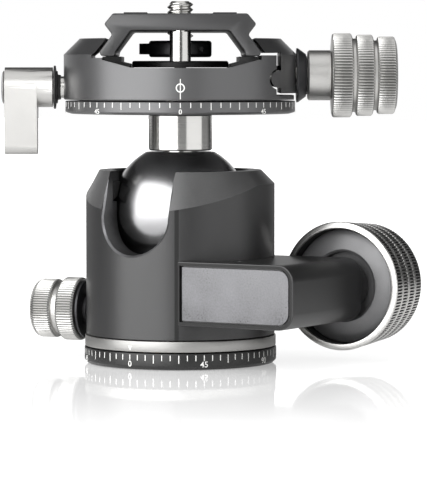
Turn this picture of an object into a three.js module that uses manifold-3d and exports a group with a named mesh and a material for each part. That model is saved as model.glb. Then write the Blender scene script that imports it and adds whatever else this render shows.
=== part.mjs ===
// Ball head with a panning base, a side-arm lock and a panning quick-release clamp.
// Millimetres, +Z up. The origin lies on the pan axis at the foot of the base.
// The drop slot faces -Y and the lock arm reaches out along +X.
// The clamp stands turned round the pan axis, as it was left after panning.

import * as THREE from 'three';
import { mergeVertices } from 'three/addons/utils/BufferGeometryUtils.js';
import Module from 'manifold-3d';

const wasm = await Module();
wasm.setup();

// Values shared by every sub-part
const fitGap = 0.3;
const cutOverrun = 3;
const weldDistance = 0.0001;
const fineEdge = 0.3;
const fineSegments = 36;
const midSegments = 22;
const smallSegments = 10;
const arcSteps = 5;
const clampTurn = 31;

// Base ring, thread insert and the parts that let the housing turn on it
const baseFlange = 0.4;
const baseHeight = 3.9;
const baseEdge = 0.8;
const bossTop = 14.55;
const insertRadius = 6.5;
const insertLength = 10.2;
const tripodThreadRadius = 4.76;
const washerInset = 2.5;
const washerWidth = 5.8;
const washerRim = 3.45;
const washerThickness = 0.6;
const retainerOverhang = 1.6;
const retainerBore = 3.2;
const retainerThickness = 1.15;
const retainerScrewCount = 3;
const retainerScrewInset = 2.9;
const retainerScrewRadius = 1.2;
const retainerScrewHeadRadius = 1.9;
const retainerScrewHead = 0.7;
const retainerScrewLength = 3.4;

// Index ring under the housing
const indexFlange = 0.3;
const indexHeight = 2.6;

// Housing: a cup with a drop slot and a faceted shoulder that dips towards the slot
const housingWall = 5.75;
const mouthRise = 10.4;
const shoulderInset = 3.25;
const shoulderBackDrop = 3.3;
const shoulderFrontDrop = 9.7;
const shoulderDip = 7;
const mouthLip = 0.5;
const mouthChamfer = 0.5;
const lipThickness = 2.4;
const slotRadius = 9;
const slotChamfer = 0.5;
const slotFlare = 0.35;

// Ball, its seats and the pin in its centre
const ballRadius = 17;
const ballFloor = 19.6;
const ballCrown = 2.2;
const ballWeb = 2;
const ballRows = 10;
const upperSeatHeight = 4.4;
const upperSeatWall = 1;
const upperSeatEndGap = 0.6;
const lowerSeatBottomShare = 0.9;
const lowerSeatTopShare = 0.594;
const lowerSeatBoreShare = 0.53;
const crossPinRadius = 1;
const crossPinLength = 6;
const crossPinBore = 3.4;

// Stem and its stud
const stemRadius = 7.75;
const stemLength = 8.7;
const studRadius = 4;
const spigotRadius = 5.7;

// Lock arm on the side of the housing, with its inlay
const armEnd = 6.5;
const armInset = 2.99;
const armBack = 14.4;
const armBottom = 10.6;
const armTop = 25.9;
const armCorner = 4;
const armFrame = 1.1;
const inlayInset = 11.3;
const inlayDepth = 1;
const setScrewReach = 12.6;
const setScrewDepth = 7.46;
const setScrewRadius = 1;
const setScrewLength = 3;
const setScrewSocket = 0.5;

// Main lock: knob, spindle with its eccentric, and push pin
const lockAxisReach = 12.95;
const lockAxisZ = 18.8;
const lockKnobRadius = 15.7;
const armToKnob = 0.6;
const lockKnobTaper = 1.1;
const lockKnobLength = 15.8;
const lockKnobRim = 0.9;
const lockKnobWall = 1.7;
const lockKnobTeeth = 22;
const lockKnobRows = 4;
const lockKnobKnurl = 0.5;
const lockKnobGroove = 0.55;
const lockKnobEndWidth = 1.3;
const linerDish = 1.7;
const linerThickness = 2.6;
const linerHoleRadius = 8;
const lockBossRadius = 6.3;
const lockBossLength = 3.6;
const lockCapRadius = 6.2;
const lockCapThickness = 1.6;
const spindleRadius = 3;
const spindleInner = -12;
const spindleEndGap = 0.6;
const camRadius = 3.3;
const camOffset = 0.4;
const camLength = 7;
const pushPinRadius = 2;
const pushPinTip = 11;
const pushPinTaper = 2.2;

// Pan lock: knob on the left of the housing, with its screw and brake pad
const panLockAngle = 190;
const panLockZ = 12.2;
const panScrewRadius = 1.6;
const panPadLength = 2.6;
const panNeckRadius = 3.9;
const panNeckLength = 1.35;
const panCollarLength = 0.8;
const panCollarRadius = 7.1;
const panKnobInnerRadius = 7.8;
const panKnobOuterRadius = 7.25;
const panKnobBand = 5;
const panKnobGroove = 1.5;
const panKnobEnd = 0.8;
const panKnobTeeth = 16;
const panKnobKnurl = 0.4;

// Panning disc, hub and retaining cap under the clamp
const discInset = 0.4;
const discThickness = 3.1;
const discEdge = 0.5;
const hubRadius = 8.2;
const capOverlap = 0.25;
const capThickness = 1.4;
const capScrewRadius = 1.5;
const capScrewHeadRadius = 3;
const capScrewHead = 0.8;
const capScrewLength = 8;

// Clamp body: a round block with a dovetail channel along Y
const clampHeight = 14.8;
const clampChamferWidth = 3.9;
const clampChamferHeight = 3.9;
const floorHeight = 7.7;
const floorInset = 7.5;
const ledgeInset = 0.7;
const ledgeRise = 2.3;
const shelfWidth = 4;
const jawDepth = 5.4;
const jawSplitGap = 1.1;
const jawShelf = 10.7;
const jawShelfGap = 0.7;
const lipInset = 0.9;
const lipHeight = 1.1;
const lipGap = 0.5;
const noseRadius = 2.1;
const noseHeight = 5;
const noseCover = 0.3;
const noseGap = 0.45;
const dovetailRelief = 0.75;
const wearStripInset = 1.9;
const wearStripRim = 1.1;
const wearStripLength = 38;
const guideRodRadius = 1.8;
const guideRodRim = 0.3;
const guideRodInBody = 8.4;
const guideRodInJaw = 3;

// Jaw screw and jaw knob along +X of the clamp
const jawScrewRise = 5.9;
const jawScrewRadius = 2.3;
const jawScrewInBody = 7.4;
const jawScrewReach = 21.6;
const jawFlangeRadius = 6.6;
const jawFlangeSink = 0.1;
const jawFlangeLength = 2;
const jawCollarRadius = 6.1;
const jawCollarLength = 6;
const jawKnobTeeth = 22;
const jawKnobKnurl = 0.45;
const jawKnobGroove = 1.35;
const jawKnobGrooveDepth = 0.9;
const jawKnobEdge = 0.5;
const jawKnobBandRadii = [10.25, 9.75, 9.3];
const jawKnobBandWidths = [4.9, 4.2, 4.4];

// Pan lever along -X of the clamp
const leverRise = 3;
const leverSpindleRadius = 2.65;
const leverSpindleGrip = 2.9;
const clampPadLength = 2.4;
const clampPadRadius = 1.9;
const leverWasherRadius = 5.25;
const leverWasherReach = 1.6;
const leverWasherThickness = 0.8;
const leverBossRadius = 4.85;
const leverBossLength = 3.7;
const paddleThickness = 7.9;
const paddleReach = 16.3;
const paddleCrown = 4.5;
const paddleTipHalfWidth = 4.1;
const paddleTipCorner = 2.5;
const leverCapRadius = 4;
const leverCapThickness = 0.5;

// Quick-release plate with its pads, stop pins and camera screw
const plateRise = 10.5;
const plateThickness = 10;
const plateTopInset = 3.2;
const wingInset = 1.1;
const wingDrop = 2.5;
const waistInset = 3;
const waistDrop = 5;
const footHalfWidth = 19;
const footHeight = 1;
const archTopInset = 7.4;
const archDrop = 4;
const archFootInset = 3.7;
const padInset = 5.25;
const padWidth = 5.5;
const padEndInset = 3;
const padProud = 0.3;
const padRecess = 0.8;
const stopPinRadius = 2.5;
const stopPinInset = 3;
const stopPinLength = 7.2;
const stopStudRadius = 1.5;
const stopStudLength = 2.3;
const cameraThreadRadius = 3.17;
const cameraScrewProud = 3.4;
const screwHeadRadius = 7.65;
const screwHeadHeight = 4;
const screwDrop = 2.2;
const screwHoleRadius = 3.6;
const clipRadius = 5.2;
const clipThickness = 0.5;
const clipWellDepth = 2.7;
const bailWidth = 2.05;
const bailThickness = 2.6;
const bailPinInset = 2.65;
const bailPinRadius = 0.6;
const bailEnd = 1.9;

// Base and washers, which follow the housing's wall round the ball
const socketRadius = ballRadius + fitGap;
const housingRadius = socketRadius + housingWall;
const baseRadius = housingRadius + baseFlange;
const indexRadius = housingRadius + indexFlange;
const washerOuter = baseRadius - washerRim;
const washerInner = washerOuter - washerWidth;
const bossRadius = washerInner - washerInset;
const washerFloor = baseHeight - washerThickness - fitGap;
const retainerRadius = bossRadius + retainerOverhang;
const retainerScrewCircle = bossRadius - retainerScrewInset;
const retainerBottom = bossTop + fitGap;
const retainerTop = retainerBottom + retainerThickness;
const indexBottom = baseHeight + fitGap;
const indexTop = indexBottom + indexHeight;

// Ball and seats, which fill the housing
const ballCentre = ballFloor + ballRadius;
const ballFlat = ballRadius - ballCrown;
const ballTop = ballCentre + ballFlat;
const housingBottom = indexTop + fitGap;
const housingTop = ballCentre + mouthRise;
const shoulderTopRadius = housingRadius - shoulderInset;
const shoulderBack = housingTop - shoulderBackDrop;
const shoulderFront = housingTop - shoulderFrontDrop;
const mouthRadius = ballRadius - mouthLip;
const mouthBottom = housingTop - lipThickness;
const plugRadius = ballRadius;
const plugTop = retainerTop + fitGap;
const seatTop = mouthBottom - fitGap;
const seatBottom = seatTop - upperSeatHeight;
const seatRadius = socketRadius + upperSeatWall;
const lowerSeatBottom = ballCentre - lowerSeatBottomShare * ballRadius;
const lowerSeatTop = ballCentre - lowerSeatTopShare * ballRadius;
const lowerSeatBore = lowerSeatBoreShare * ballRadius;

// Lock arm and both locks, which hang on the housing
const lockAxisX = housingRadius + lockAxisReach;
const armRight = lockAxisX + armEnd;
const armFront = armInset - housingRadius;
const inlayLeft = housingRadius - inlayInset;
const setScrewX = lockAxisX - setScrewReach;
const setScrewY = armFront + setScrewDepth;
const lockKnobFront = armBack + armToKnob;
const lockKnobBack = lockKnobFront + lockKnobLength;
const linerRadius = lockKnobRadius - lockKnobWall;
const linerBack = lockKnobFront + linerDish + linerThickness;
const spindleOuter = lockKnobBack - lockCapThickness - spindleEndGap;
const panCollarStart = housingRadius + panNeckLength;
const panKnobStart = panCollarStart + panCollarLength + fitGap;

// Widths of the plate, which the clamp is built round
const plateTopHalfWidth = footHalfWidth - plateTopInset;
const wingHalfWidth = footHalfWidth - wingInset;
const waistHalfWidth = footHalfWidth - waistInset;
const archTopHalfWidth = footHalfWidth - archTopInset;
const archFootHalfWidth = footHalfWidth - archFootInset;
const floorHalfWidth = footHalfWidth - floorInset;
const ledgeHalfWidth = footHalfWidth - ledgeInset;
const dovetailBack = footHalfWidth + dovetailRelief;
const jawSplit = footHalfWidth + shelfWidth;
const clampRadius = jawSplit + jawDepth;

// Stem, disc and clamp, stacked on the ball
const stemBottom = ballTop + fitGap;
const stemTop = stemBottom + stemLength;
const studBottom = ballCentre + crossPinBore + ballWeb + fitGap;
const discRadius = clampRadius - discInset;
const discBottom = stemTop + fitGap;
const discTop = discBottom + discThickness;
const clampBottom = discTop + fitGap;
const clampTop = clampBottom + clampHeight;
const floorTop = clampBottom + floorHeight;
const ledgeTop = floorTop + ledgeRise;
const hubTop = floorTop;
const capRadius = floorHalfWidth + capOverlap;
const capBottom = hubTop + fitGap;
const capTop = capBottom + capThickness;
const shelfTop = clampBottom + jawShelf;
const lipReach = clampRadius - lipInset;
const wearStripInner = floorHalfWidth + wearStripInset;
const wearStripOuter = ledgeHalfWidth - wearStripRim;
const jawHalfLength = Math.sqrt(clampRadius ** 2 - (jawSplit + jawSplitGap) ** 2);
const guideRodSpread = jawHalfLength - guideRodRadius - fitGap - guideRodRim;
const guideRodInner = jawSplit - guideRodInBody;
const guideRodOuter = jawSplit + guideRodInJaw;

// Jaw knob and pan lever, which hang on the clamp
const jawScrewZ = clampBottom + jawScrewRise;
const jawScrewInner = jawSplit - jawScrewInBody;
const jawScrewOuter = clampRadius + jawScrewReach;
const jawFlangeStart = clampRadius - jawFlangeSink;
const leverZ = clampBottom + leverRise;
const leverWasherStart = clampRadius + leverWasherReach;
const leverBossStart = leverWasherStart + leverWasherThickness + fitGap;
const leverSpindleOuter = leverBossStart + leverSpindleGrip;
const paddleStart = leverBossStart + leverBossLength;
const paddleEnd = paddleStart + paddleThickness;

// Plate and camera screw, which sit in the clamp's channel
const plateLength = 2 * discRadius;
const plateBottom = clampBottom + plateRise;
const plateTop = plateBottom + plateThickness;
const padCentre = plateTopHalfWidth - padInset;
const padLength = plateLength - 2 * padEndInset;
const stopPinSpread = discRadius - stopPinInset;
const cameraScrewTop = plateTop + cameraScrewProud;
const screwHeadTop = plateTop - archDrop - screwDrop;
const screwHeadBottom = screwHeadTop - screwHeadHeight;
const bailOuterRadius = screwHeadRadius + fitGap + bailWidth;
const bailPivotX = screwHeadRadius - bailPinInset;

// Finishes
const blackAnodised = { color: 0x38383a, roughness: 0.5, metalness: 0.6 };
const darkAnodised = { color: 0x2a2a2b, roughness: 0.45, metalness: 0.6 };
const scaleBlack = { color: 0x232323, roughness: 0.5, metalness: 0.4 };
const satinSilver = { color: 0xb9b6b1, roughness: 0.35, metalness: 0.9 };
const brightSteel = { color: 0xc9c7c3, roughness: 0.2, metalness: 1 };
const greyInlay = { color: 0x8f8e92, roughness: 0.7, metalness: 0.3 };
const blackChrome = { color: 0x202021, roughness: 0.08, metalness: 0.9 };
const paleNylon = { color: 0xd8d6d0, roughness: 0.5, metalness: 0 };
const blackPlastic = { color: 0x161616, roughness: 0.6, metalness: 0 };
const bronze = { color: 0xa9814c, roughness: 0.4, metalness: 0.9 };
const blackRubber = { color: 0x1c1c1c, roughness: 0.9, metalness: 0 };

// Turns a closed three.js geometry into a solid that can be joined and cut
function toSolid(geometry) {
  const bare = geometry.clone();
  bare.deleteAttribute('normal');
  bare.deleteAttribute('uv');
  const merged = mergeVertices(bare, weldDistance);
  const places = merged.getAttribute('position');
  const index = merged.getIndex().array;
  const corners = [];
  let volume = 0;
  const [a, b, c] = [new THREE.Vector3(), new THREE.Vector3(), new THREE.Vector3()];
  for (let i = 0; i < index.length; i += 3) {
    const [p, q, r] = [index[i], index[i + 1], index[i + 2]];
    if (p === q || q === r || r === p) continue;
    corners.push(p, q, r);
    a.fromBufferAttribute(places, p);
    b.fromBufferAttribute(places, q);
    c.fromBufferAttribute(places, r);
    volume += a.dot(b.cross(c));
  }
  if (volume < 0) corners.reverse();
  const triVerts = new Uint32Array(corners);
  const vertProperties = new Float32Array(places.array);
  return new wasm.Manifold(new wasm.Mesh({ numProp: 3, vertProperties, triVerts }));
}

// Names a finished piece and gives it its finish
function piece(name, solid, finish) {
  const { vertProperties, triVerts } = solid.getMesh();
  const geometry = new THREE.BufferGeometry();
  geometry.setAttribute('position', new THREE.BufferAttribute(vertProperties, 3));
  geometry.setIndex(new THREE.BufferAttribute(triVerts, 1));
  geometry.computeVertexNormals();
  const mesh = new THREE.Mesh(geometry, new THREE.MeshStandardMaterial(finish));
  mesh.name = name;
  return mesh;
}

function cut(solid, ...tools) {
  return tools.reduce((rest, tool) => rest.subtract(tool), solid);
}

function join(solid, ...others) {
  return others.reduce((sum, other) => sum.add(other), solid);
}

// Revolves a profile of [radius, height] points round Y; a ring is closed on itself
function revolve(profile, segments) {
  const points = profile.map(([radius, height]) => new THREE.Vector2(radius, height));
  const ring = profile[0][0] > 0 || profile[profile.length - 1][0] > 0;
  if (ring) points.push(points[0].clone());
  return new THREE.LatheGeometry(points, segments);
}

function turnedZ(profile, segments = midSegments) {
  return toSolid(revolve(profile, segments).rotateX(Math.PI / 2));
}

function turnedX(profile, z, segments = midSegments, y = 0) {
  return toSolid(revolve(profile, segments).rotateZ(-Math.PI / 2).translate(0, y, z));
}

function turnedY(profile, x, z, segments = midSegments) {
  return toSolid(revolve(profile, segments).translate(x, 0, z));
}

// Profile of a plain rod or bore between two places along its axis
function rod(radius, from, to) {
  return [[0, from], [radius, from], [radius, to], [0, to]];
}

// Profile of a plain ring between two places along its axis
function ring(inner, outer, from, to) {
  return [[inner, from], [outer, from], [outer, to], [inner, to]];
}

// Outline whose corners [x, y, radius] are rounded by true arcs
function filleted(corners) {
  const outline = [];
  corners.forEach(([x, y, radius], i) => {
    const corner = new THREE.Vector2(x, y);
    if (!radius) {
      outline.push(corner);
      return;
    }
    const before = corners[(i + corners.length - 1) % corners.length];
    const after = corners[(i + 1) % corners.length];
    const back = new THREE.Vector2(before[0], before[1]).sub(corner).normalize();
    const ahead = new THREE.Vector2(after[0], after[1]).sub(corner).normalize();
    const half = Math.acos(back.dot(ahead)) / 2;
    const middle = back.clone().add(ahead).normalize().multiplyScalar(radius / Math.sin(half));
    const centre = corner.clone().add(middle);
    const start = back.clone().multiplyScalar(radius / Math.tan(half)).add(corner).sub(centre);
    const end = ahead.clone().multiplyScalar(radius / Math.tan(half)).add(corner).sub(centre);
    const sweep = Math.atan2(start.cross(end), start.dot(end));
    for (let step = 0; step <= arcSteps; step++) {
      const turn = (sweep * step) / arcSteps;
      outline.push(start.clone().rotateAround(new THREE.Vector2(), turn).add(centre));
    }
  });
  return outline;
}

// Bars of a constant section: along Z from (x, y), along Y from (x, z), along X from (y, z)
function barZ(outline, from, to) {
  const options = { depth: to - from, bevelEnabled: false, steps: 1 };
  return toSolid(new THREE.ExtrudeGeometry(new THREE.Shape(outline), options).translate(0, 0, from));
}

function barY(outline, from, to) {
  const options = { depth: to - from, bevelEnabled: false, steps: 1 };
  const bar = new THREE.ExtrudeGeometry(new THREE.Shape(outline), options);
  return toSolid(bar.rotateX(Math.PI / 2).translate(0, to, 0));
}

function barX(outline, from, to) {
  const options = { depth: to - from, bevelEnabled: false, steps: 1 };
  const bar = new THREE.ExtrudeGeometry(new THREE.Shape(outline), options);
  const [x, y, z] = [new THREE.Vector3(1, 0, 0), new THREE.Vector3(0, 1, 0), new THREE.Vector3(0, 0, 1)];
  return toSolid(bar.applyMatrix4(new THREE.Matrix4().makeBasis(y, z, x)).translate(from, 0, 0));
}

function box(xFrom, xTo, yFrom, yTo, zFrom, zTo) {
  return barZ(filleted([[xFrom, yFrom], [xTo, yFrom], [xTo, yTo], [xFrom, yTo]]), zFrom, zTo);
}

// Surface of rows and columns that closes round its columns; its first and last row
// close on the axis or are filled by a flat cap
function loft(rows, columns, pointAt) {
  const places = [];
  const faces = [];
  for (let row = 0; row < rows; row++) {
    for (let column = 0; column < columns; column++) {
      places.push(...pointAt(row, column).toArray());
    }
  }
  for (let row = 0; row + 1 < rows; row++) {
    for (let column = 0; column < columns; column++) {
      const next = (column + 1) % columns;
      const [a, b] = [row * columns + column, row * columns + next];
      const [c, d] = [a + columns, b + columns];
      faces.push(a, b, d, a, d, c);
    }
  }
  const geometry = new THREE.BufferGeometry();
  geometry.setAttribute('position', new THREE.Float32BufferAttribute(places, 3));
  geometry.setIndex(faces);
  return geometry;
}

// Knurled knob along its axis: rows of [radius, place, knurl depth], both ends on the axis
function knurled(rows, teeth) {
  const columns = 2 * teeth;
  return loft(rows.length, columns, (row, column) => {
    const [radius, place, depth = 0] = rows[row];
    const angle = (column * 2 * Math.PI) / columns;
    const reach = radius - (column % 2) * depth;
    return new THREE.Vector3(reach * Math.sin(angle), place, reach * Math.cos(angle));
  });
}

// Arc of the ball's surface, grown by a gap, between two heights
function ballArc(gap, from, to, steps) {
  const radius = ballRadius + gap;
  const start = Math.asin((from - ballCentre) / radius);
  const end = Math.asin((to - ballCentre) / radius);
  const points = [];
  for (let step = 0; step <= steps; step++) {
    const angle = start + ((end - start) * step) / steps;
    points.push([radius * Math.cos(angle), ballCentre + radius * Math.sin(angle)]);
  }
  return points;
}

// Base ring with its boss, blind insert bore and washer recess
function makeBaseRing() {
  const insertBore = insertRadius + fitGap;
  const insertTop = insertLength + 2 * fitGap;
  const body = turnedZ([
    [insertBore, 0], [baseRadius - baseEdge, 0], [baseRadius, baseEdge],
    [baseRadius, baseHeight], [washerOuter + fitGap, baseHeight],
    [washerOuter + fitGap, washerFloor], [washerInner - fitGap, washerFloor],
    [washerInner - fitGap, baseHeight], [bossRadius, baseHeight], [bossRadius, bossTop],
    [0, bossTop], [0, insertTop], [insertBore, insertTop],
  ], fineSegments);
  const depth = retainerScrewLength + fitGap;
  const bores = retainerScrewPlaces().map(([x, y]) =>
    drilledZ(x, y, retainerScrewRadius + fitGap, bossTop - depth, bossTop + cutOverrun));
  return cut(body, ...bores);
}

function drilledZ(x, y, radius, from, to) {
  return toSolid(revolve(rod(radius, from, to), smallSegments).rotateX(Math.PI / 2).translate(x, y, 0));
}

function retainerScrewPlaces() {
  return Array.from({ length: retainerScrewCount }, (_, i) => {
    const angle = Math.PI / 2 + (i * 2 * Math.PI) / retainerScrewCount;
    return [retainerScrewCircle * Math.cos(angle), retainerScrewCircle * Math.sin(angle)];
  });
}

function makeRetainer() {
  const disc = turnedZ(ring(retainerBore, retainerRadius, retainerBottom, retainerTop));
  const headBottom = retainerTop - retainerScrewHead - fitGap;
  const holes = retainerScrewPlaces().flatMap(([x, y]) => [
    drilledZ(x, y, retainerScrewRadius + fitGap, retainerBottom - cutOverrun, headBottom),
    drilledZ(x, y, retainerScrewHeadRadius + fitGap, headBottom, retainerTop + cutOverrun),
  ]);
  return cut(disc, ...holes);
}

function makeRetainerScrew([x, y]) {
  const headBottom = retainerTop - retainerScrewHead;
  const tip = bossTop - retainerScrewLength;
  const profile = [
    [0, tip], [retainerScrewRadius, tip], [retainerScrewRadius, headBottom],
    [retainerScrewHeadRadius, headBottom], [retainerScrewHeadRadius, retainerTop], [0, retainerTop],
  ];
  return toSolid(revolve(profile, smallSegments).rotateX(Math.PI / 2).translate(x, y, 0));
}

// Housing: height of the shoulder's lower edge at an angle from the slot, and its radius there
function shoulderEdge(angle) {
  return Math.min(shoulderBack, shoulderFront + shoulderDip * (1 - Math.cos(angle)));
}

function housingRadiusAt(angle, height) {
  const edge = shoulderEdge(angle);
  const climb = Math.max(0, Math.min(1, (height - edge) / (housingTop - edge)));
  return housingRadius - climb * (housingRadius - shoulderTopRadius);
}

function makeHousingBlank() {
  const rows = [
    () => [0, housingBottom],
    () => [housingRadius, housingBottom],
    (angle) => [housingRadius, shoulderEdge(angle)],
    () => [shoulderTopRadius, housingTop - fineEdge],
    () => [shoulderTopRadius - fineEdge, housingTop],
    () => [0, housingTop],
  ];
  return toSolid(loft(rows.length, fineSegments, (row, column) => {
    const angle = (column * 2 * Math.PI) / fineSegments;
    const [radius, height] = rows[row](angle);
    return new THREE.Vector3(radius * Math.sin(angle), -radius * Math.cos(angle), height);
  }));
}

// Drop slot: half round at the ball's height, flared upwards, its outer edge chamfered
function makeSlotCut() {
  const outlineAt = (grow) => {
    const points = [];
    const radius = slotRadius + grow;
    const above = housingTop + cutOverrun;
    for (let step = 0; step <= 2 * arcSteps; step++) {
      const angle = Math.PI + (step * Math.PI) / (2 * arcSteps);
      points.push([radius * Math.cos(angle), ballCentre + radius * Math.sin(angle)]);
    }
    points.push([radius, (ballCentre + housingTop) / 2], [radius + slotFlare, above]);
    points.push([-radius - slotFlare, above], [-radius, (ballCentre + housingTop) / 2]);
    return points;
  };
  const surfaceAt = (x, z) => {
    const radius = housingRadiusAt(Math.asin(x / housingRadius), z);
    return -Math.sqrt(radius * radius - x * x);
  };
  const farOut = -housingRadius - cutOverrun;
  const inner = outlineAt(0);
  const outer = outlineAt(slotChamfer);
  const loops = [
    inner.map(([x, z]) => [x, 0, z]),
    inner.map(([x, z]) => [x, surfaceAt(x, z) + slotChamfer, z]),
    outer.map(([x, z]) => [x, surfaceAt(x, z), z]),
    outer.map(([x, z]) => [x, farOut, z]),
  ];
  const geometry = loft(loops.length, inner.length, (row, column) =>
    new THREE.Vector3(...loops[row][column]));
  const faces = Array.from(geometry.getIndex().array);
  const flat = inner.map(([x, z]) => new THREE.Vector2(x, z));
  const last = (loops.length - 1) * inner.length;
  for (const [a, b, c] of THREE.ShapeUtils.triangulateShape(flat, [])) {
    faces.push(a, c, b, last + a, last + b, last + c);
  }
  geometry.setIndex(faces);
  return toSolid(geometry);
}

function armSection(inset) {
  const corner = armCorner - inset;
  return [
    [armRight - inset, armBottom + inset, corner], [armRight - inset, armTop - inset, corner],
  ];
}

function inlaySection(gap) {
  const right = armSection(armFrame + gap);
  return filleted([
    [inlayLeft + gap, armBottom + armFrame + gap], right[0], right[1],
    [inlayLeft + gap, armTop - armFrame - gap],
  ]);
}

function makeHousing() {
  const arm = barY(filleted([[0, armBottom], ...armSection(0), [0, armTop]]), armFront, armBack);
  const boss = turnedY(rod(lockBossRadius, 0, armBack + lockBossLength), lockAxisX, lockAxisZ);
  const cavity = turnedZ([
    [0, housingBottom - cutOverrun], [socketRadius, housingBottom - cutOverrun],
    [socketRadius, seatBottom - fitGap], [seatRadius + fitGap, seatBottom - fitGap],
    [seatRadius + fitGap, mouthBottom], [mouthRadius, mouthBottom],
    [mouthRadius, housingTop - mouthChamfer], [mouthRadius + mouthChamfer, housingTop],
    [mouthRadius + mouthChamfer, housingTop + cutOverrun], [0, housingTop + cutOverrun],
  ], fineSegments);
  const spindleBore = rod(camRadius + camOffset + fitGap, spindleInner - fitGap,
    armBack + lockBossLength + cutOverrun);
  const pinBore = turnedX(rod(pushPinRadius + fitGap, 0, lockAxisX), lockAxisZ, smallSegments);
  const setScrewFloor = armTop - setScrewLength - fitGap;
  return cut(
    join(makeHousingBlank(), arm, boss), cavity, makeSlotCut(),
    turnedY(spindleBore, lockAxisX, lockAxisZ), pinBore,
    barY(inlaySection(0), armFront - cutOverrun, armFront + inlayDepth),
    drilledZ(setScrewX, setScrewY, setScrewRadius + fitGap, setScrewFloor, armTop + cutOverrun),
    panLockBore(),
  );
}

// Radial bore of the pan lock, through the housing and its plug
function panLockBore() {
  const bore = rod(panScrewRadius + fitGap, 0, housingRadius + cutOverrun);
  const geometry = revolve(bore, smallSegments).rotateZ(-Math.PI / 2).translate(0, 0, panLockZ);
  return toSolid(geometry.rotateZ(THREE.MathUtils.degToRad(panLockAngle)));
}

function makeBottomPlug() {
  const plug = turnedZ([
    [bossRadius + fitGap, housingBottom], [plugRadius, housingBottom], [plugRadius, plugTop],
    [retainerRadius + fitGap, plugTop], [retainerRadius + fitGap, bossTop],
    [bossRadius + fitGap, bossTop],
  ]);
  return cut(plug, panLockBore());
}

function makeUpperSeat() {
  const seat = turnedZ([
    [seatRadius, seatBottom], [seatRadius, seatTop],
    ...ballArc(fitGap, seatTop, seatBottom, arcSteps / 2),
  ], fineSegments);
  const half = slotRadius + upperSeatEndGap;
  return cut(seat, box(-half, half, -housingRadius, 0, seatBottom - cutOverrun, seatTop + cutOverrun));
}

function makeLowerSeat() {
  const arc = ballArc(fitGap, lowerSeatTop, lowerSeatBottom, arcSteps)
    .filter(([radius]) => radius > lowerSeatBore);
  return turnedZ([
    [lowerSeatBore, lowerSeatBottom], [plugRadius, lowerSeatBottom], [plugRadius, lowerSeatTop],
    ...arc,
  ], midSegments);
}

function makeSetScrew() {
  const bottom = armTop - setScrewLength;
  const profile = [
    [0, bottom], [setScrewRadius, bottom], [setScrewRadius, armTop - fitGap],
    [setScrewSocket, armTop - fitGap], [setScrewSocket, bottom + setScrewLength / 2],
    [0, bottom + setScrewLength / 2],
  ];
  return toSolid(revolve(profile, smallSegments).rotateX(Math.PI / 2).translate(setScrewX, setScrewY, 0));
}

// Main lock knob: a smooth rim, then rows of knurls parted by grooves, on a slight taper
function makeLockKnob() {
  const first = lockKnobFront + lockKnobRim;
  const pitch = (lockKnobBack - lockKnobEndWidth - first) / lockKnobRows;
  const radiusAt = (place) =>
    lockKnobRadius - (lockKnobTaper * (place - lockKnobFront)) / lockKnobLength;
  const rows = [
    [0, linerBack + fitGap], [linerRadius, linerBack + fitGap], [linerRadius, lockKnobFront],
    [lockKnobRadius - fineEdge, lockKnobFront], [lockKnobRadius, lockKnobFront + fineEdge],
  ];
  for (let row = 0; row < lockKnobRows; row++) {
    const start = first + row * pitch;
    const end = start + pitch;
    rows.push([radiusAt(start) - lockKnobGroove, start]);
    rows.push([radiusAt(start), start + lockKnobGroove / 2, lockKnobKnurl]);
    rows.push([radiusAt(end), end - lockKnobGroove / 2, lockKnobKnurl]);
  }
  const last = lockKnobBack - lockKnobEndWidth;
  const capBore = lockCapRadius + fitGap;
  const capFloor = lockKnobBack - lockCapThickness - fitGap;
  rows.push([radiusAt(last) - lockKnobGroove, last], [radiusAt(last) - lockKnobGroove / 2, last]);
  rows.push([radiusAt(lockKnobBack) - lockKnobGroove / 2, lockKnobBack - lockKnobEndWidth / 2]);
  rows.push([radiusAt(lockKnobBack) - lockKnobEndWidth, lockKnobBack]);
  rows.push([capBore, lockKnobBack], [capBore, capFloor], [0, capFloor]);
  const body = toSolid(knurled(rows, lockKnobTeeth).translate(lockAxisX, 0, lockAxisZ));
  return cut(body, turnedY(rod(spindleRadius + fitGap, lockKnobFront, lockKnobBack), lockAxisX, lockAxisZ));
}

function makeLockLiner() {
  const outer = linerRadius - fitGap;
  return turnedY([
    [linerHoleRadius, lockKnobFront + linerDish], [outer - fineEdge, lockKnobFront + 2 * fineEdge],
    [outer, lockKnobFront + 3 * fineEdge], [outer, linerBack],
    [spindleRadius + fitGap, linerBack], [spindleRadius + fitGap, linerBack - fineEdge],
    [linerHoleRadius, linerBack - fineEdge],
  ], lockAxisX, lockAxisZ);
}

function makeLockSpindle() {
  const shaft = turnedY(rod(spindleRadius, spindleInner, spindleOuter), lockAxisX, lockAxisZ);
  const cam = turnedY(rod(camRadius, -camLength / 2, camLength / 2), lockAxisX - camOffset, lockAxisZ);
  return join(shaft, cam);
}

function makePushPin() {
  const back = lockAxisX - camOffset - camRadius - fitGap;
  return turnedX([
    [0, pushPinTip], [pushPinRadius / 2, pushPinTip], [pushPinRadius, pushPinTip + pushPinTaper],
    [pushPinRadius, back], [0, back],
  ], lockAxisZ, smallSegments);
}

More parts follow.
